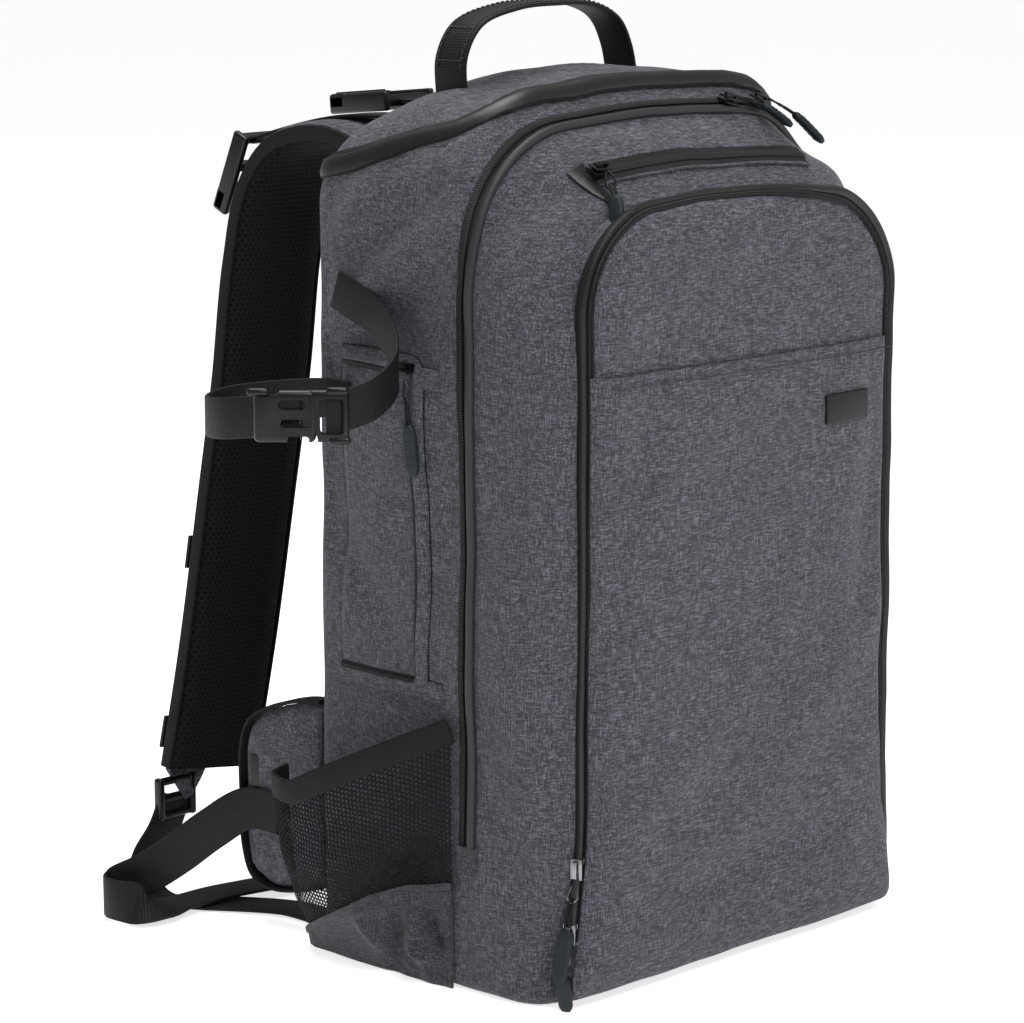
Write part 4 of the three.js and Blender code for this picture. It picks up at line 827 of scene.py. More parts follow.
# The pocket's zip lies on the row ZIP_ROW of its skin and up to ZIP_SHIFT rows further in on the right. The
# slip pocket starts SLIP_GAP rows inside the zip
ZIP_ROW, ZIP_SHIFT, SLIP_GAP = 8.4, 12, 4.6

PocketRing = namedtuple("PocketRing", "rise inset foot")
POCKET_RINGS = [
    PocketRing(-14.0, 0.0, -2.0),
    PocketRing(-6.0, 0.0, -1.0),
    PocketRing(1.0, 0.3, 0.0),
    PocketRing(4.6, 1.2, 6.0),
    PocketRing(7.4, 3.6, 16.0),
    PocketRing(10.0, 10.0, 38.0),
    PocketRing(12.2, 24.0, 72.0),
    PocketRing(13.4, 40.0, 118.0),
    PocketRing(14.0, 58.0, 165.0),
]
POCKET_FOLDS = [
    Fold(-95, -106, 300, 0.25, 0, 1.0, 90, 12, -2.0),
    Fold(-70, -110, 120, 0.9, 0, 0.5, 60, 14, 2.0),
    Fold(-20, -112, 200, 1.0, 0, -0.35, 80, 20, -2.0),
    Fold(60, -112, 150, 0.8, 0, 0.7, 80, 18, 2.0),
    Fold(20, -112, 400, 1.0, 0, 0.2, 60, 14, -1.6),
    Fold(95, -108, 230, 0.1, 0, 1.0, 90, 12, -1.8),
    Fold(0, -108, 60, 1.0, 0, 0.1, 90, 12, -2.2),
]


def pocket_grid(grow=0.0):
    """The pocket's skin moved out by grow, ring by ring, closed on its face."""
    rings = np.array(POCKET_RINGS)
    steps = np.linspace(0, len(rings) - 1, 40)
    rise, inset, foot = (smooth(np.arange(len(rings)), rings[:, k], steps) for k in range(3))
    rows = []
    for up, draw, lift in zip(rise, inset, foot):
        corner = max(POCKET_CORNER - draw * 0.5, 10)
        ring = outline(POCKET_HALF - draw, POCKET_TOP - draw, POCKET_LOW + lift, POCKET_CROWN, corner)
        ring[:, 0] *= 1 + POCKET_FLARE * np.clip(1 - ring[:, 1] / FLARE_TOP, 0, 1) ** 1.2
        rows.append(np.insert(ring, 1, FACE_Y - up, axis=1))
    grid = capped(np.array(rows), np.array([0, FACE_Y - 14.0, 275.0]), first=False, rings=18, bulge=-2.0)
    normals = grid_normals(grid, np.array([0, FACE_Y + 60, 220]))
    swell = crumple(grid, 1.8, 0.6, POCKET_FOLDS)
    swell *= np.minimum(1, np.arange(len(grid)) / 14)[:, None]
    return grid + normals * (swell + grow)[..., None], normals


def zip_row(places):
    """The row of the pocket's skin that its zip lies on in each column: further in on the right."""
    root = places[8]
    right = np.interp(root[:, 0], [10, 110], [0, 1]) * np.clip((root[:, 2] - 30) / 60, 0, 1)
    return ZIP_ROW + ZIP_SHIFT * right


def pocket_run(start, end, step=3):
    """A run along the pocket's zip from one column to another."""
    places, normals = pocket_grid()
    columns = np.linspace(start, end, 160)
    rows = np.interp(columns, np.arange(places.shape[1]), zip_row(places))
    line = [blended(places, *spot) for spot in zip(rows, columns)]
    up = [unit(blended(normals, *spot)) for spot in zip(rows, columns)]
    return surface_run(line, up, step)


def inside_zip(places):
    """The part of the pocket's skin inside its zip, with rows at even shares."""
    starts = zip_row(places) + SLIP_GAP
    at = starts + (len(places) - 1 - starts) * np.linspace(0, 1, len(places) - 13)[:, None]
    low = np.floor(at).astype(int).clip(0, len(places) - 2)
    part = (at - low)[..., None]
    columns = np.arange(places.shape[1])
    return places[low, columns] * (1 - part) + places[low + 1, columns] * part


def on_zip(z, lift):
    """A place beside the left end of the pocket's zip, z high and lift out of the cloth."""
    places, normals = pocket_grid()
    heights = np.maximum.accumulate(places[8, : MIDDLE + 1, 2])
    column = 2 * MIDDLE - float(np.interp(z, heights, np.arange(MIDDLE + 1)))
    return blended(places, ZIP_ROW, column) + unit(blended(normals, ZIP_ROW, column)) * lift


def make_pocket():
    places, _ = pocket_grid()
    pocket = gridded("front_pocket_cloth", places, FABRIC)
    placed(walled(pocket, 2.5), "main_fabric", "front_pocket")

    places, _ = pocket_grid(2.4)
    slip = gridded("slip_pocket_cloth", inside_zip(places), FABRIC)
    plane = {"plane_co": (0, 0, SLIP_TOP * MM), "plane_no": (0, 0, 1)}
    edited(slip, (bpy.ops.mesh.bisect, {**plane, "clear_outer": True, "use_fill": False}))
    placed(walled(slip, 1.8), "main_fabric", "slip_pocket")
    places, _ = pocket_grid(4.3)
    near = inside_zip(places).reshape(-1, 3)
    near = near[np.abs(near[:, 2] - SLIP_HEM) < 5]
    near = near[np.argsort(near[:, 0])]
    xs = np.linspace(-116, 116, 60)
    line = np.stack([xs, np.interp(xs, near[:, 0], near[:, 1]), xs * 0 + SLIP_HEM], axis=1)
    run = surface_run(line, np.tile([0.0, -1.0, 0.0], (len(xs), 1)), 1)
    placed(stitches("slip_pocket_stitches", run, 3.6, 0.3), "main_fabric")


# Zips. A covered zip's fold has a flat foot, a round back and a lip that overhangs

CASE_ZIP_LOW, POCKET_ZIP_LOW, TOP_ZIP_Z = 80, 38, 456

FoldSpot = namedtuple("FoldSpot", "across up")
FOLD_PROFILE = [
    FoldSpot(-0.5, 0.0),
    FoldSpot(-0.56, 0.35),
    FoldSpot(-0.52, 0.75),
    FoldSpot(-0.4, 1.0),
    FoldSpot(-0.1, 0.98),
    FoldSpot(0.25, 0.75),
    FoldSpot(0.5, 0.3),
    FoldSpot(0.5, 0.0),
]

# The cover at the left end of the top pocket's zip: x, and how far behind the zip
GarageSpot = namedtuple("GarageSpot", "x behind")
GARAGE = [
    GarageSpot(-91, 6),
    GarageSpot(-90, 0),
    GarageSpot(-89, -6),
    GarageSpot(-86, -13),
    GarageSpot(-84, -20),
]


def covered_zip(name, node, run, width, height, side=1, cover=COATED):
    """A covered zip: its tape, its coil and the smooth fold over it. side is where the fold lies."""
    tape = banded(f"{name}_tape", shifted(run, 0, 0.2), strip(width, 1.0), COIL)
    ribs = banded(f"{name}_coil", shifted(run, -side * width * 0.28, 0.9), strip(3.4, 2.0), COIL)
    profile = [(spot.across * width * 0.66 * side, spot.up * height) for spot in FOLD_PROFILE]
    fold = banded(f"{name}_fold", wavy(shifted(run, side * width * 0.14, 0.5), 0.7, 40, 5), profile, cover)
    seam = stitches(f"{name}_stitches", shifted(run, side * width * 0.42, 1.1), 3.6, 0.4)
    placed(fold, "zip_tape", node)
    for piece in (tape, ribs, seam):
        placed(piece, "zip_tape")


def make_case_zip():
    """The zip in the groove between the main body and the front case, with piping beside it."""
    left, right = (column_at(JOINT_Y, CASE_ZIP_LOW, side) for side in (-1, 1))
    columns = [*np.linspace(left, MIDDLE, 70), *np.linspace(MIDDLE, right, 70)[1:]]
    joint = skin_run([(JOINT_Y, column) for column in columns], 3)
    tape = banded("case_zip_tape", shifted(joint, 0, 0.2), strip(11, 1.2), COIL)
    ribs = banded("case_zip_coil", shifted(joint, -2.2, 1.0), strip(3.6, 2.2), COIL)
    pipe = banded("case_piping", wavy(shifted(joint, 4.0, 1.2), 0.5, 30, 3), tube(2.7, 10), PIPING)
    placed(tape, "zip_tape", "case_zip")
    placed(ribs, "zip_tape")
    placed(pipe, "zip_tape")
    for name, side in (("left", -1), ("right", 1)):
        spots = [(JOINT_Y - 1, column_at(JOINT_Y, z, side)) for z in np.linspace(70, 84, 6)]
        end = shifted(skin_run(spots, 2), 0, 1.6)
        # The zip ends take the darker copy of the heather: painted shade.
        placed(banded(f"case_zip_end_{name}", end, strip(14, 3.6), FABRIC_PAINTED_SHADE), "main_fabric")


def make_pocket_zip():
    places, _ = pocket_grid()
    heights = np.maximum.accumulate(places[5, : MIDDLE + 1, 2])
    start = float(np.interp(POCKET_ZIP_LOW, heights, np.arange(MIDDLE + 1)))
    covered_zip("pocket_zip", "pocket_zip", pocket_run(2 * MIDDLE - start, start), 12, 4.2, side=-1)


def make_top_zip():
    """The top pocket's zip between two cloth edges, with a tapering cover at its left end."""
    ahead = np.arange(JOINT_Y, FACE_Y, -0.5)
    zip_y = next(y for y in ahead if on_skin(y, MIDDLE)[0][2] < TOP_ZIP_Z)
    row = skin[int(round(row_of(zip_y)))]

    def column_of(x, reach):
        near = np.arange(MIDDLE + reach, MIDDLE - reach - 1, -1)
        return np.interp(x, row[near, 0], near)

    top = skin_run([(zip_y, column) for column in column_of(np.linspace(-89, 89, 60), 44)])
    tape = banded("top_zip_tape", shifted(top, 0, 0.5), strip(13, 1.4), COATED)
    placed(tape, "zip_tape", "top_pocket_zip")
    placed(banded("top_zip_coil", shifted(top, 0, 1.2), strip(5.0, 1.8), COIL), "zip_tape")
    garage = skin_run([(zip_y + spot.behind, float(column_of(spot.x, 60))) for spot in GARAGE], 2)
    taper = np.linspace(1, 0.12, len(garage.places))
    sizes = np.stack([taper, taper * 0 + 1], axis=1)
    end = banded("top_zip_garage", shifted(garage, 0, 0.8), strip(13, 1.6), COATED, sizes)
    placed(end, "zip_tape")
    for name, side in (("upper", -1), ("lower", 1)):
        edge = shifted(top, side * 7.0, 0.6)
        placed(banded(f"top_zip_edge_{name}", edge, tube(1.1), FABRIC), "zip_tape")


def make_door_zip(corner=7):
    """The zip along the top, the front and the foot of the side door, with a cloth tab at each corner."""
    spots = [(DOOR_REAR_Y, DOOR_TOP)]
    for z, start in ((DOOR_TOP - corner, 90), (DOOR_BOTTOM + corner, 180)):
        for turn in np.radians(np.linspace(start, start + 90, 6)):
            spots.append((DOOR_FRONT_Y + corner + corner * math.cos(turn), z + corner * math.sin(turn)))
    spots.append((DOOR_REAR_Y, DOOR_BOTTOM))
    line = evened(np.array(spots, float), 4)[0]
    run = skin_run([(y, column_at(y, z, -1)) for y, z in line])
    covered_zip("door_zip", "side_door_zip", run, 12, 2.8, -1, FABRIC)
    for name, z in (("upper", 342), ("lower", 167)):
        spots = [(y, column_at(y, z, -1)) for y in np.linspace(-19, -1, 8)]
        tab = banded(f"door_tab_{name}", shifted(skin_run(spots, 2), 0, 1.0), strip(11.5, 2.4), FABRIC)
        placed(tab, "main_fabric")


def make_zips():
    covered_zip("lid_zip", "lid_zip", skin_run(lid_spots(), 3), 16, 3.6, side=1)
    make_case_zip()
    make_pocket_zip()
    make_top_zip()
    make_door_zip()


# Sliders and their pulls. A slider's blocks: their size, how far out of the zip they lie and how far along

SliderPart = namedtuple("SliderPart", "across along out lift ahead bevel")
SLIDER_PARTS = [
    SliderPart(8.4, 12.5, 1.3, -1.6, 0, 0.5),
    SliderPart(7.6, 12.0, 1.3, 0.9, 0, 0.55),
    SliderPart(2.2, 4.0, 3.0, -0.2, 4.0, 0.3),
    SliderPart(2.8, 9.5, 1.2, 3.2, 0, 0.5),
    SliderPart(2.4, 1.6, 2.6, 2.0, 4.2, 0.3),
    SliderPart(2.4, 1.6, 2.6, 2.0, -4.2, 0.3),
]
GRIP_START = 0.45

# The pocket's pulls hang against the cloth: how far each point is below the slider and off the cloth
Drop = namedtuple("Drop", "down off")
POCKET_PULLS = {
    "pocket_a": [Drop(7, 3), Drop(25, 6), Drop(41, 7), Drop(63, 7.5)],
    "pocket_b": [Drop(7, 3), Drop(19, 5.5), Drop(37, 6.5)],
}


def middle_of(node):
    low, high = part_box(node)
    return np.array((low + high) / 2) / MM


def make_slider(name, up, along, route, finish=PLASTIC, at=None):
    """A zip slider with a ring, a doubled cord and a moulded grip along route."""
    at = middle_of(f"{name}_slider") if at is None else at
    up, along = unit(np.asarray(up, float)), unit(np.asarray(along, float))
    along = unit(along - up * (along @ up))
    axes = (np.cross(along, up), along, up)
    parts = []
    for part in SLIDER_PARTS:
        size = (part.across, part.along, part.out)
        spot = at + up * part.lift + along * part.ahead
        parts.append(block("part", size, finish, spot, axes, part.bevel, 2))
    placed(joined(f"{name}_slider_body", *parts), "slider_metal", f"{name}_slider")

    run = free_run(route, axes[0], 1.5, facing=up)
    length = max(len(run.places) * 1.5, 20)
    ring = part_of(run, 0, min(13 / length, GRIP_START))
    t = np.linspace(0, 1, len(ring.places))
    bow = smooth([0, 0.25, 0.75, 1], [0.6, 1.8, 3.0, 0.4], t)[:, None]
    arms = []
    for side in (-1, 1):
        arm = Run(ring.places + ring.across * bow * side, ring.across, ring.up)
        arms.append(banded("arm", arm, strip(1.5, 1.2), finish))
    placed(joined(f"{name}_pull_ring", *arms), "slider_metal")
    cord_run = part_of(run, 9 / length, GRIP_START + 0.08)
    cords = [banded("cord", shifted(cord_run, side), tube(0.85), CORD) for side in (-1.1, 1.1)]
    grip_run = part_of(run, GRIP_START, 1)
    t = np.linspace(0, 1, len(grip_run.places))
    wide = smooth([0, 0.06, 0.2, 0.86, 1], [0.5, 0.75, 1, 0.95, 0.55], t)
    deep = smooth([0, 0.08, 0.86, 1], [0.6, 1, 1, 0.6], t) * (1 + 0.06 * np.sin(t * 40))
    sizes = np.stack([wide, deep], axis=1)
    grip = banded(f"{name}_pull_grip", grip_run, strip(8.8, 4.4, steps=4), GRIP, sizes)
    placed(joined(f"{name}_pull_cord", *cords), "pull_rubber")
    placed(grip, "pull_rubber", f"{name}_pull")


def make_sliders():
    for name in ("case_a", "case_b"):
        low, high = (np.array(v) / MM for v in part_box(f"{name}_pull"))
        start = middle_of(f"{name}_slider") + [7, 0, 1]
        tip = np.array([high[0] - 1, low[1] + 4, low[2] + 4])
        route = [start, (start + tip) / 2 + [0, 0, 3], tip]
        make_slider(name, (0.25, -0.35, 1.0), (1, 0, -0.15), route)
    for name, drops in POCKET_PULLS.items():
        z = middle_of(f"{name}_slider")[2]
        route = [on_zip(max(z - drop.down, 3.5), drop.off) for drop in drops]
        make_slider(name, (-1, -0.3, 0), (0, 0, 1), route, NICKEL, on_zip(z, 3.2))
    low, _ = (np.array(v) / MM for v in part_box("top_pocket_pull"))
    start = middle_of("top_pocket_slider") + [-2, -7, -1]
    tip = np.array([low[0] + 5, low[1] - 2, low[2] - 6])
    route = [start, (start + tip) / 2 + [0, -2, 2], tip]
    make_slider("top_pocket", (0, -0.45, 0.9), (1, 0, 0), route)
    door, lid = middle_of("side_door_slider"), middle_of("lid_slider")
    route = [door + [-2, -2, -5], door + [-3, -6, -30], door + [-2.5, -9, -57]]
    make_slider("side_door", (-1, 0, 0), (0, 1, 0), route)
    make_slider("lid", (1, 0, 0.1), (0, 1, 0), [lid + [2, 0, -5], lid + [4, 0, -30], lid + [7, 0, -60]])


# Handle and label. The handle's spots: x, and how far above the body's top

HANDLE_Y = 57
HandleSpot = namedtuple("HandleSpot", "x rise")
HANDLE = [
    HandleSpot(-72, -13),
    HandleSpot(-72, 9),
    HandleSpot(-60, 26.6),
    HandleSpot(-29, 35.5),
    HandleSpot(0, 37),
    HandleSpot(32, 35.5),
    HandleSpot(53, 26.6),
    HandleSpot(63, 11),
    HandleSpot(69, -13),
]


def cross_row(run, share, half):
    """A short run across another one."""
    k = int(share * (len(run.places) - 1))
    line = [run.places[k] + run.across[k] * x for x in np.linspace(-half, half, 9)]
    return surface_run(line, np.tile(run.up[k], (9, 1)), 1)


def make_handle():
    spots = [(spot.x, HANDLE_Y, BODY_HEIGHT + spot.rise) for spot in HANDLE]
    run = free_run(spots, (0, 1, 0), 2.5, facing=(0, 0, 1))
    placed(banded("handle_webbing", run, strip(25, 2.6), WEBBING), "webbing", "handle")
    for name, side, shares in (("left", -1, (0.11, 0.2)), ("right", 1, (0.8, 0.89))):
        rows = [stitches("row", shifted(part_of(run, 0.08, 0.92), side * 9.5, 1.4), 4)]
        for share in shares:
            rows.append(stitches("row", shifted(cross_row(run, share, 9.5), 0, 1.4), 3.2, 0.4))
        placed(joined(f"handle_stitches_{name}", *rows), "webbing")


def make_label():
    centre = middle_of("label_plate") + [0, -0.3, 0]
    axes = ((1, 0.04, 0), (0, 0.02, 1), (0.04, -1, 0.02))
    plate = block("label_plate_moulding", (38, 17, 2.2), LABEL, centre, axes, 0.9)
    placed(plate, "black_plastic", "label_plate")


# Net pockets: the heights of their rims and of their boots' rims along them, how far they stand out along
# them and how much of that they reach at each share of their height

NET_FRONT_Y, NET_LENGTH, NET_BULGE = -28, 116, 42
NET_RIM = ([0, 0.74, 1.0], [156, 112, 112])
BOOT_RIM = ([0, 0.2, 0.38, 1.0], [60, 55.8, 48, 9.5])
NET_OUT = ([0, 0.14, 0.36, 0.6, 0.8, 0.94, 1.0], [0.02, 0.36, 0.72, 0.95, 1.0, 0.86, 0.45])
NET_SWELL = ([0, 0.12, 0.35, 0.65, 1.0], [0.1, 0.26, 0.62, 0.9, 1.0])
NET_FOLDS = [
    Fold(-170, -5, 70, -0.4, 1.0, -0.55, 45, 7, -3.0),
    Fold(-178, 15, 62, -0.3, 1.0, -0.8, 40, 6, 2.5),
    Fold(-180, 30, 90, -0.3, 1.0, -0.4, 45, 8, -2.5),
    Fold(-165, -12, 100, -0.3, 1.0, -0.2, 40, 7, 2.0),
    Fold(-160, -15, 40, 0.0, 0.4, 1.0, 40, 5, -4.0),
    Fold(-163, -5, 30, 0.0, 0.3, 1.0, 40, 5, 3.5),
    Fold(-166, 6, 28, 0.0, -0.3, 1.0, 35, 6, -4.0),
    Fold(-170, 22, 22, 0.0, 0.5, 1.0, 30, 6, 3.0),
    Fold(-160, -18, 18, 0.0, 1.0, 0.2, 30, 5, 3.0),
]


def net_rim(along):
    return np.interp(along, *NET_RIM)


def boot_rim(along):
    return np.interp(along, *BOOT_RIM)


def net_grid(side, low, high, grow, columns=64, rows=44):
    """The net pocket's surface between two heights, each a function of the way along it."""
    along = np.linspace(0, 1, columns)
    share = np.linspace(0, 1, rows)[:, None]
    z = low(along) + (high(along) - low(along)) * share
    out = smooth(*NET_OUT, along)
    swell = smooth(*NET_SWELL, np.clip(z / net_rim(along), 0, 1))
    x = -(HALF + 1.5 + grow + out * swell * NET_BULGE)
    y = np.broadcast_to(NET_FRONT_Y + along * NET_LENGTH, z.shape)
    grid = np.stack([x, y, z], axis=2)
    normals = grid_normals(grid, np.array([0, 30, 60]))
    edge = np.minimum(1, np.minimum(along, 1 - along) / 0.08)
    swell = crumple(grid, 1.8, 0.9, NET_FOLDS) * edge
    grid = grid + normals * swell[..., None]
    grid[..., 2] = grid[..., 2].clip(0.4)
    return (grid * [-1, 1, 1], normals * [-1, 1, 1]) if side > 0 else (grid, normals)


def make_net_pockets():
    for name, side in (("left", -1), ("right", 1)):
        knit, _ = net_grid(side, lambda a: boot_rim(a) - 4, lambda a: net_rim(a) - 8, 0.0)
        knit = gridded(f"net_{name}_knit", knit, NET, 60)
        placed(walled(knit, 0.6), "side_net", f"net_{name}")
        boot, normals = net_grid(side, lambda a: a * 0 + 0.3, boot_rim, 0.8)
        seam = surface_run(boot[-1], normals[-1], 2.5)
        # The boot and its hem take the darker copy of the heather: painted shade.
        boot = gridded(f"boot_{name}_cloth", boot, FABRIC_PAINTED_SHADE, 60)
        placed(walled(boot, 1.6), "main_fabric", f"boot_{name}")
        hem = banded(f"boot_{name}_hem", shifted(seam, 0, 0.3), strip(4, 1.6), FABRIC_PAINTED_SHADE)
        placed(hem, "main_fabric")
        line, normals = net_grid(side, lambda a: net_rim(a) - 15, net_rim, 0.6)
        middle = surface_run(line[22], normals[22], 2.5)
        rim = banded(f"net_rim_{name}_elastic", middle, strip(14.5, 2.8), ELASTIC)
        placed(rim, "webbing", f"net_rim_{name}")


# Side strap with its buckle. The strap goes round an empty loop: how far each spot is out of the bag's side
# and behind the loop's middle, in loop radii, and above the buckle's middle, in widths of the webbing

STRAP_Z, LOOP_RADIUS, LOOP_Y, LOOP_OUT, WALL_X, WEB_WIDTH = 331, 52.5, 36, 0.914, -156.8, 25
BUCKLE_FACING = 225

LoopSpot = namedtuple("LoopSpot", "out behind up")
SIDE_STRAP = {
    "front": [
        LoopSpot(0.0, 0.5, 2.16),
        LoopSpot(0.02, -0.1, 1.68),
        LoopSpot(0.2, -0.6, 1.1),
        LoopSpot(0.44, -0.87, 0.62),
        LoopSpot(0.88, -1.0, 0.24),
        LoopSpot(1.3, -0.93, 0.04),
    ],
    "rear": [
        LoopSpot(1.84, -0.37, -0.04),
        LoopSpot(1.9, 0.17, -0.2),
        LoopSpot(1.62, 0.71, -0.32),
        LoopSpot(1.09, 0.98, -0.32),
        LoopSpot(0.27, 0.86, -0.32),
        LoopSpot(0.0, 0.62, -0.32),
        LoopSpot(0.0, 0.3, -0.32),
    ],
}

# Openings through the buckle's two halves: their size and where they are, along and up from its middle
Slot = namedtuple("Slot", "length height along up bevel")
BUCKLE_SLOTS = [
    Slot(15, 5.2, -3, 6.5, 2.4),
    Slot(17, 4.4, -1, -3.5, 2.0),
    Slot(12, 4, 0, -12.5, 1.8),
    Slot(13, 7, -16, 14.5, 3.0),
]
TONGUE_SLOTS = [Slot(13, 19, 18, 0, 2.0), Slot(9, 9, 6, -13, 3.6)]


def make_side_strap():
    for name, spots in SIDE_STRAP.items():
        places = []
        for spot in spots:
            x, y = WALL_X - spot.out * LOOP_RADIUS, LOOP_Y + spot.behind * LOOP_RADIUS
            places.append((x, y, STRAP_Z + spot.up * WEB_WIDTH))
        run = free_run(places, (0, 0, 1), 2.5)
        web = banded(f"side_strap_{name}_webbing", run, strip(22.5, 2.4), WEBBING)
        placed(web, "webbing", f"side_strap_{name}")
    facing = math.radians(BUCKLE_FACING)
    out = np.array([math.cos(facing), math.sin(facing), 0])
    at = np.array([WALL_X - LOOP_OUT * LOOP_RADIUS, LOOP_Y, STRAP_Z]) + out * LOOP_RADIUS
    length, upward = np.array([-out[1], out[0], 0]), np.array([0, 0, 1])
    axes = (length, out, upward)

    def part(name, size, along, up, bevel, segments=3, lift=0.0, finish=PLASTIC):
        spot = at + length * along + upward * up + out * lift
        return block(name, size, finish, spot, axes, bevel, segments)

    def cut(piece, slots):
        sizes = [(slot.length, 24, slot.height) for slot in slots]
        return holed(piece, *[part("slot", s, k.along, k.up, k.bevel) for s, k in zip(sizes, slots)])

    body = cut(part("buckle", (33, 8, 28), -7, 0, 3.2, 4), BUCKLE_SLOTS)
    tongue = cut(part("tongue", (26, 6, 28), 14, 0, 2.6), TONGUE_SLOTS)
    web = part("web", (8, 2.6, 24), 19, 0, 0.8, 2, 0.5, WEBBING)
    ends = ((-21, 13), (21, 13.5), (22, -13))
    bars = [part("bar", (12, 5, 4.4), along, up, 2.0, 3, 1.5) for along, up in ends]
    placed(web, "webbing").name = "side_buckle_web"
    placed(joined("side_buckle_moulding", body, tongue, *bars), "black_plastic", "side_buckle")


# Shoulder straps: how far behind the back panel, in reaches, how high, in STRAP_RISE above STRAP_LOW, how
# far to the side and how much the strap leans to the side there

STRAP_MIDDLE, STRAP_SPREAD, STRAP_LOW, STRAP_RISE = 52, 66, 74, 364
StrapSpot = namedtuple("StrapSpot", "behind up spread arch")
STRAP_ROUTE = [
    StrapSpot(0.0, 1.0, 0.0, 0.0),
    StrapSpot(0.2, 1.035, 0.0, 0.5),
    StrapSpot(0.5, 1.062, 0.02, 1.0),
    StrapSpot(0.8, 1.035, 0.08, 1.0),
    StrapSpot(0.95, 0.96, 0.14, 0.9),
    StrapSpot(1.0, 0.84, 0.22, 0.5),
    StrapSpot(0.97, 0.65, 0.42, 0.1),
    StrapSpot(0.97, 0.45, 0.62, 0.0),
    StrapSpot(0.99, 0.22, 0.82, 0.0),
    StrapSpot(1.04, 0.0, 1.0, 0.0),
]
StrapSide = namedtuple("StrapSide", "name side reach lean")
STRAP_SIDES = [StrapSide("left", -1, 130, 0.0), StrapSide("right", 1, 152, -0.4)]

# Half of the pad's outline, in shares of its half width and depth, and the cover's underside, in shares of
# its half width and of COVER_DROP above COVER_REST
PAD_HALF, PAD_DEPTH, COVER_HALF, COVER_REST, COVER_DROP = 35, 6, 34, 6.6, 0.8
ProfileSpot = namedtuple("ProfileSpot", "across up")
PAD_PROFILE = [
    ProfileSpot(1, 0),
    ProfileSpot(0.97, 0.5),
    ProfileSpot(0.86, 0.88),
    ProfileSpot(0.55, 1),
    ProfileSpot(0.2, 1),
    ProfileSpot(-0.2, 1),
    ProfileSpot(-0.55, 1),
    ProfileSpot(-0.86, 0.88),
    ProfileSpot(-0.97, 0.5),
]
COVER_PROFILE = [
    ProfileSpot(-1, -2.6),
    ProfileSpot(-0.86, -0.6),
    ProfileSpot(-0.5, 0),
    ProfileSpot(0, 0.2),
    ProfileSpot(0.5, 0),
    ProfileSpot(0.86, -0.6),
    ProfileSpot(1, -2.6),
]


def strap_points(row):
    points = []
    for spot in STRAP_ROUTE:
        x = row.side * (STRAP_MIDDLE + (spot.spread + spot.arch * row.lean) * STRAP_SPREAD)
        points.append((x, BACK_Y + 0.3 + spot.behind * row.reach, STRAP_LOW + spot.up * STRAP_RISE))
    return points


def make_shoulder_straps():
    pad = [(PAD_HALF * spot.across, PAD_DEPTH * spot.up) for spot in PAD_PROFILE]
    pad += [(-x, -y) for x, y in pad]
    cover = [(spot.across * COVER_HALF, COVER_REST + COVER_DROP * spot.up) for spot in COVER_PROFILE]
    cover += [(x, y + 0.9) for x, y in cover[::-1]]
    for row in STRAP_SIDES:
        name = f"shoulder_strap_{row.name}"
        run = free_run(strap_points(row), (1, 0, 0), 5, facing=(0, 1, 0.4))
        body = banded(f"{name}_pad", run, pad, SPACER, angle=70)
        placed(stuffed(body, 4, 1.6), "spacer_mesh", name)
        placed(banded(f"{name}_cover", shifted(run, 0, 0.6), cover, FABRIC, angle=60), "main_fabric")
        for edge in (-1, 1):
            place = "inner" if edge * row.side < 0 else "outer"
            line = shifted(run, edge * 34.6, 1.0)
            trim = banded(f"strap_{row.name}_binding_{place}", line, strip(2.6, 9), ELASTIC)
            placed(trim, "webbing")
        half = len(run.places) // 2
        for keeper, up in (("upper", 0.36), ("lower", 0.06)):
            away = np.abs(run.places[half:, 2] - (STRAP_LOW + up * STRAP_RISE))
            k = half + int(np.argmin(away))
            along = unit(run.places[min(k + 1, len(run.places) - 1)] - run.places[k - 1])
            seat = run.places[k] + run.up[k] * 8.6
            line = [seat + run.across[k] * x for x in (-35, -20, 0, 20, 35)]
            node = f"strap_keeper_{row.name}_{keeper}"
            web = banded(f"{node}_webbing", free_run(line, along, 3, facing=run.up[k]), strip(20, 2), WEBBING)
            placed(web, "webbing", node)


def framed(name, node, at, axes, size, bars, plate=None):
    """A buckle's frame: two rails, crossbars at shares of its length and a ridged plate at its far end."""
    width, thick, length = size
    wide, out, way = (unit(np.asarray(a, float)) for a in axes)
    rail = 4.6
    parts = []
    for side in (-1, 1):
        spot = at + wide * side * (width - rail) / 2
        parts.append(block("rail", (rail, thick, length), PLASTIC, spot, axes, 1.8, 3))
    for share in bars:
        spot = at + way * share * length
        parts.append(block("bar", (width - 3, thick * 0.62, 5.0), PLASTIC, spot, axes, 1.8, 3))
    if plate:
        end = at + way * length * 0.36 + out * thick * 0.1
        parts.append(block("plate", (width, thick * 0.9, length * plate), PLASTIC, end, axes, 2.6, 4))
        for ridge in (-1, 0, 1):
            spot = end + out * thick * 0.45 + way * ridge * 4.2
            parts.append(block("ridge", (width * 0.8, 1.6, 1.8), PLASTIC, spot, axes, 0.7, 2))
    placed(joined(name, *parts), "black_plastic", node)


# Load lifters: where on its strap each buckle sits, how far it tips down and how far it is moved, in mm
LifterSeat = namedtuple("LifterSeat", "share tilt shift")
LIFTER_SEATS = {"left": LifterSeat(0.43, 1.15, (-9, 9, 0)), "right": LifterSeat(0.34, 0.1, (0, 0, 0))}
LIFTER_WIDTH, LIFTER_THICK, LIFTER_LENGTH, LIFTER_ROOT_Z = 42, 12, 52, 470


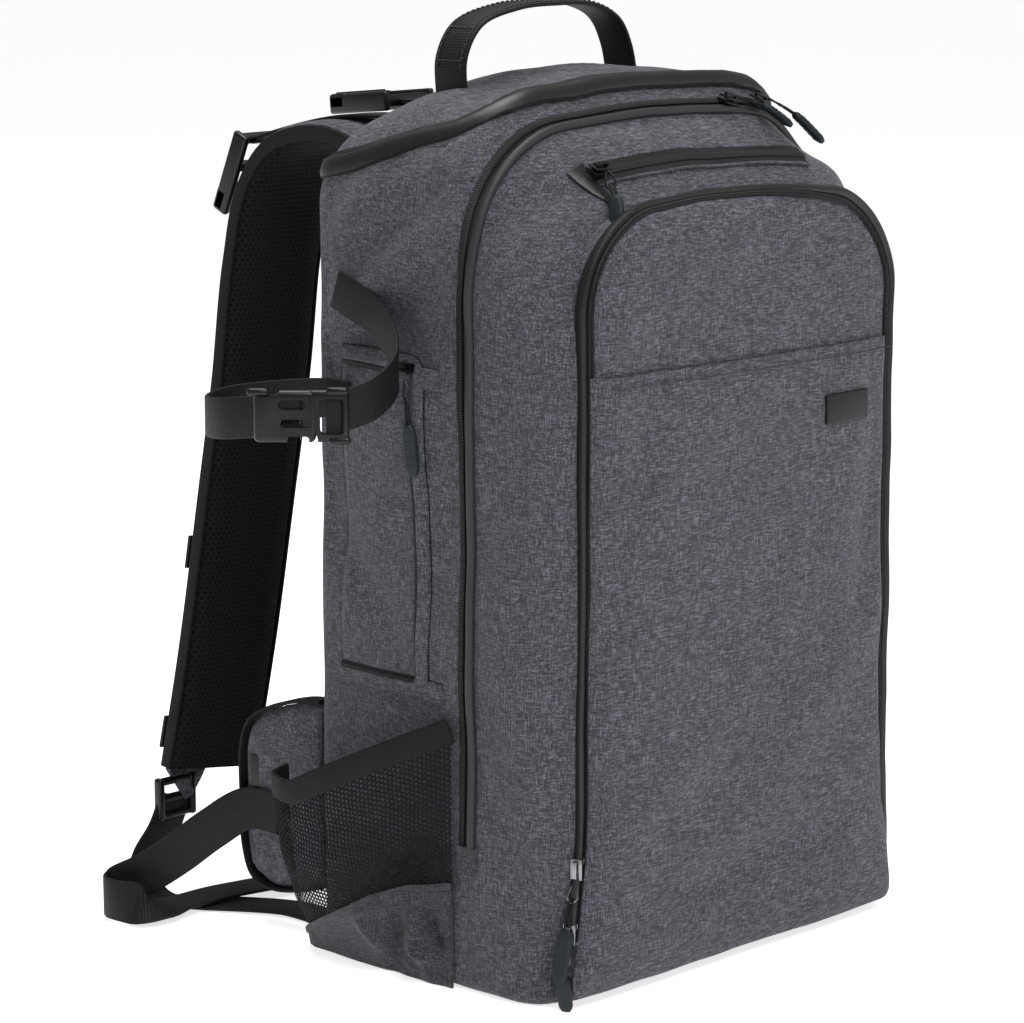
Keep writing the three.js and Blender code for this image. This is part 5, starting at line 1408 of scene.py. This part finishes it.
def make_lifters():
    for row in STRAP_SIDES:
        seat = LIFTER_SEATS[row.name]
        points = strap_points(row)
        places, at = spline(points)
        k = int(np.argmin(np.abs(at - seat.share * (len(points) - 1))))
        along = unit(places[k + 1] - places[k - 1])
        across = unit(np.array([1.0, 0, 0]) - along * along[0])
        out = np.cross(across, along)
        out = out if out[1] + out[2] > 0 else -out
        way = np.array([0, math.cos(seat.tilt), -math.sin(seat.tilt)])
        reach = abs(way @ out) * LIFTER_LENGTH + LIFTER_THICK
        top = places[k] + out * (6.3 + reach / 2) + seat.shift
        axes = ((1, 0, 0), -np.cross(way, [1, 0, 0]), way)
        node = f"lifter_buckle_{row.name}"
        size = (LIFTER_WIDTH, LIFTER_THICK, LIFTER_LENGTH)
        framed(f"{node}_moulding", node, top, axes, size, (-0.44, -0.08, 0.2), 0.3)
        start, x = top - way * 24, row.side * STRAP_MIDDLE
        stations = [
            (x, BACK_Y + 0.3, LIFTER_ROOT_Z),
            (x, BACK_Y + 12, LIFTER_ROOT_Z + 1),
            ((x + start[0]) / 2, (BACK_Y + start[1]) / 2, max(LIFTER_ROOT_Z, start[2])),
            (start[0], start[1] - 6, start[2]),
            tuple(start + way * 4),
        ]
        run = free_run(stations, (1, 0, 0), 2.5, facing=(0, 0, 1))
        node = f"lifter_strap_{row.name}"
        placed(banded(f"{node}_webbing", run, strip(20, 2.4), WEBBING), "webbing", node)


# Webs that lie on the floor. STRAP_WEB: out to the side and back, in REACH from the adjuster, and up, in
# shares of its height. STRAP_WEB_FOOT: in from the bag's side, back from the panel and up, in mm.
# HIP_WEBS: out from the hip fin's root and back, in FIN_REACH, up, in FIN_RISE, and 1 where the web is flat

REACH, FIN_REACH, FIN_RISE, FIN_X, FIN_Y = 28, 62, 142, 155.4, 150.3
BELT_X, BELT_HALF, BELT_Y, BELT_Z, WEB_FLOOR_Z = 49, 31, 150, 5.8, 1.9
WebSpot = namedtuple("WebSpot", "out back up")
STRAP_WEB = [
    WebSpot(0.0, 0.0, 1.0),
    WebSpot(0.3, 0.04, 0.68),
    WebSpot(0.72, 0.1, 0.4),
    WebSpot(0.86, 0.1, 0.2),
    WebSpot(0.86, -0.1, 0.06),
    WebSpot(0.8, -0.5, 0.0),
    WebSpot(0.3, -1.2, 0.0),
]
STRAP_WEB_FOOT = [WebSpot(30, 56, 0), WebSpot(34, 20, 0), WebSpot(34, 5, 5), WebSpot(34, 0.5, 12)]
HipSpot = namedtuple("HipSpot", "out back up flat")
HIP_WEBS = {
    "left": [
        HipSpot(0.04, -0.55, 0.51, 0),
        HipSpot(0.06, -0.13, 0.5, 0),
        HipSpot(0.24, 0.18, 0.4, 0),
        HipSpot(0.42, 0.48, 0.28, 0),
        HipSpot(0.58, 0.8, 0.175, 0),
        HipSpot(0.73, 1.03, 0.115, 0),
        HipSpot(0.88, 1.0, 0.1, 0),
        HipSpot(0.93, 0.8, 0.1, 0),
        HipSpot(0.83, 0.63, 0.092, 0.25),
        HipSpot(0.62, 0.57, 0.06, 0.75),
        HipSpot(0.3, 0.63, 0.04, 1),
        HipSpot(-0.24, 0.62, 0.04, 1),
        HipSpot(-1.04, 0.44, 0.04, 1),
        HipSpot(-2.0, 0.12, 0.04, 1),
    ],
    "right": [
        HipSpot(0.04, -0.55, 0.53, 0),
        HipSpot(0.06, -0.13, 0.53, 0),
        HipSpot(0.2, 0.3, 0.43, 0),
        HipSpot(0.12, 0.78, 0.26, 0.3),
        HipSpot(-0.3, 0.82, 0.08, 1),
        HipSpot(-0.8, 0.4, 0.04, 1),
    ],
}


def make_strap_web(row):
    """The web from a shoulder strap's end through its adjuster to the foot of the back panel."""
    end = np.array(strap_points(row)[-1])
    seat = end + [row.side * 28, 0, -14]
    stations = []
    for spot in STRAP_WEB:
        x, y = seat[0] + row.side * spot.out * REACH, seat[1] + spot.back * REACH
        stations.append((x, y, WEB_FLOOR_Z + spot.up * (seat[2] - WEB_FLOOR_Z)))
    for spot in STRAP_WEB_FOOT:
        stations.append((row.side * (HALF - spot.out), BACK_Y + spot.back, WEB_FLOOR_Z + spot.up))
    node = f"strap_web_{row.name}"
    web = banded(f"{node}_webbing", free_run(stations, (1, 0, 0), 3), strip(25, 2.4), WEBBING)
    placed(web, "webbing", node)
    node = f"strap_adjuster_{row.name}"
    framed(f"{node}_moulding", node, seat, ((1, 0, 0), (0, 1, 0), (0, 0, 1)), (29, 6.5, 26), (-0.4, 0.0, 0.4))
    tie = [end + [row.side * 10, 0, 12], end + [row.side * 20, 0, -2], seat + [0, -1, 8]]
    tab = banded(f"strap_end_{row.name}_tab", free_run(tie, (1, 0, 0), 2.5), strip(24, 3.2), FABRIC)
    placed(tab, "main_fabric")


def make_hip_web(row):
    stations, wide = [], []
    for spot in HIP_WEBS[row.name]:
        x = row.side * (FIN_X + spot.out * FIN_REACH)
        stations.append((x, FIN_Y + spot.back * FIN_REACH, spot.up * FIN_RISE))
        wide.append((0, spot.flat, 1 - spot.flat))
    stations.append((BELT_X + row.side * BELT_HALF, BELT_Y, BELT_Z))
    wide.append((0, 1, 0))
    run = wavy(free_run(stations, wide, 3), 1.0, 60, 9)
    node = f"hip_web_{row.name}"
    placed(banded(f"{node}_webbing", run, strip(25, 2.2), WEBBING), "webbing", node)


def make_lower_webs():
    for row in STRAP_SIDES:
        make_strap_web(row)
        make_hip_web(row)
    axes = ((1, 0, 0), (0, 0, 1), (0, 1, 0))
    female = block("female", (36, 10.5, 33), PLASTIC, (62, BELT_Y, BELT_Z), axes, 4.0, 4)
    male = block("male", (24, 8.5, 31), PLASTIC, (31.5, BELT_Y, BELT_Z), axes, 3.2, 4)
    for y in (BELT_Y + 11, BELT_Y - 11):
        female = holed(female, block("slot", (20, 4, 8), PLASTIC, (62, y, 10), axes, 1.6, 3))
    male = holed(male, block("slot", (5, 24, 24), PLASTIC, (26, BELT_Y, BELT_Z), axes, 1.4, 3))
    placed(joined("hip_buckle_moulding", female, male), "black_plastic", "hip_buckle")


# Pads. The edge of a hip fin from its root round its tip: back, out and up in shares of its size

FinSpot = namedtuple("FinSpot", "back out up")
FIN_EDGE = [
    FinSpot(0.04, -0.02, 1.0),
    FinSpot(0.3, 0.02, 0.985),
    FinSpot(0.65, 0.07, 0.925),
    FinSpot(0.9, 0.1, 0.84),
    FinSpot(1.01, 0.1, 0.7),
    FinSpot(1.02, 0.1, 0.45),
    FinSpot(1.0, 0.1, 0.2),
    FinSpot(0.88, 0.1, 0.05),
    FinSpot(0.65, 0.07, 0.0),
    FinSpot(0.3, 0.02, 0.02),
    FinSpot(0.04, -0.02, 0.06),
]
FIN_ROOT_X, FIN_FOOT_Z, FIN_HEIGHT = 143.2, 24, 118
FIN_PATCH = [FinSpot(0.3, 0.02, 0.49), FinSpot(0.55, 0.055, 0.49), FinSpot(0.85, 0.098, 0.49)]


def fin_line(side, spots, lift=0.0):
    """The places of spots on a hip fin, lift out of it."""
    line = []
    for spot in spots:
        x = side * (FIN_ROOT_X + spot.out * FIN_REACH + lift)
        line.append((x, BACK_Y + 0.3 + spot.back * FIN_REACH, FIN_FOOT_Z + spot.up * FIN_HEIGHT))
    return line


def make_pads():
    for node in ("back_pad_left", "back_pad_right", "lumbar_pad"):
        placed(stuffed(remeshed(f"{node}_foam", node, 5, SPACER), 4, 3.0), "spacer_mesh", node)
    for name, side in (("left", -1), ("right", 1)):
        node = f"hip_fin_{name}"
        placed(stuffed(remeshed(f"{node}_foam", node, 4, FABRIC), 4, 2.0), "main_fabric", node)
        edge = free_run(fin_line(side, FIN_EDGE), (1, 0, 0), 2.5)
        placed(banded(f"{node}_binding", edge, strip(13.5, 2.2), ELASTIC), "webbing")
        patch = free_run(fin_line(side, FIN_PATCH, 6.6), (0, 0, 1), 2.5)
        placed(banded(f"{node}_patch", patch, strip(44, 1.4), COATED), "webbing")


make_body()
make_pocket()
make_zips()
make_sliders()
make_handle()
make_label()
make_net_pockets()
make_side_strap()
make_shoulder_straps()
make_pads()
make_lifters()
make_lower_webs()


# Studio: a pale floor that runs out of sight, soft light from above and the front

bpy.ops.mesh.primitive_plane_add(size=30, location=(0, 0, -0.0002))
floor = bpy.context.object
floor.name = floor.data.name = "studio_floor"
white, _, _ = bare("studio_white", "#f4f4f4", 0.9, Emission_Color=(1, 1, 1, 1), Emission_Strength=0.7)
floor.data.materials.append(white)

world = bpy.data.worlds.new("studio")
bpy.context.scene.world = world
world.use_nodes = True
sky = world.node_tree
seen = put(sky, "LightPath", output="Is Camera Ray")
strength = put(sky, "MapRange", {0: seen, 1: 0, 2: 1, 3: 0.3, 4: 1.0})
sky.links.new(strength, sky.nodes["Background"].inputs["Strength"])
sky.nodes["Background"].inputs["Color"].default_value = (1, 1, 1, 1)

Lamp = namedtuple("Lamp", "name place size power")
for lamp in (
    Lamp("key", (-0.5, -1.2, 1.9), 0.9, 24),
    Lamp("top", (0.1, 0.5, 2.5), 1.3, 36),
    Lamp("fill", (1.8, -1.4, 1.3), 1.6, 6),
):
    bpy.ops.object.light_add(type="AREA", location=lamp.place)
    light = bpy.context.object
    light.name = light.data.name = lamp.name
    light.data.size = lamp.size
    light.data.energy = lamp.power
    aim = Vector((0, 0, 0.25)) - Vector(lamp.place)
    light.rotation_euler = aim.to_track_quat("-Z", "Y").to_euler()

bpy.context.scene.view_settings.view_transform = "Standard"
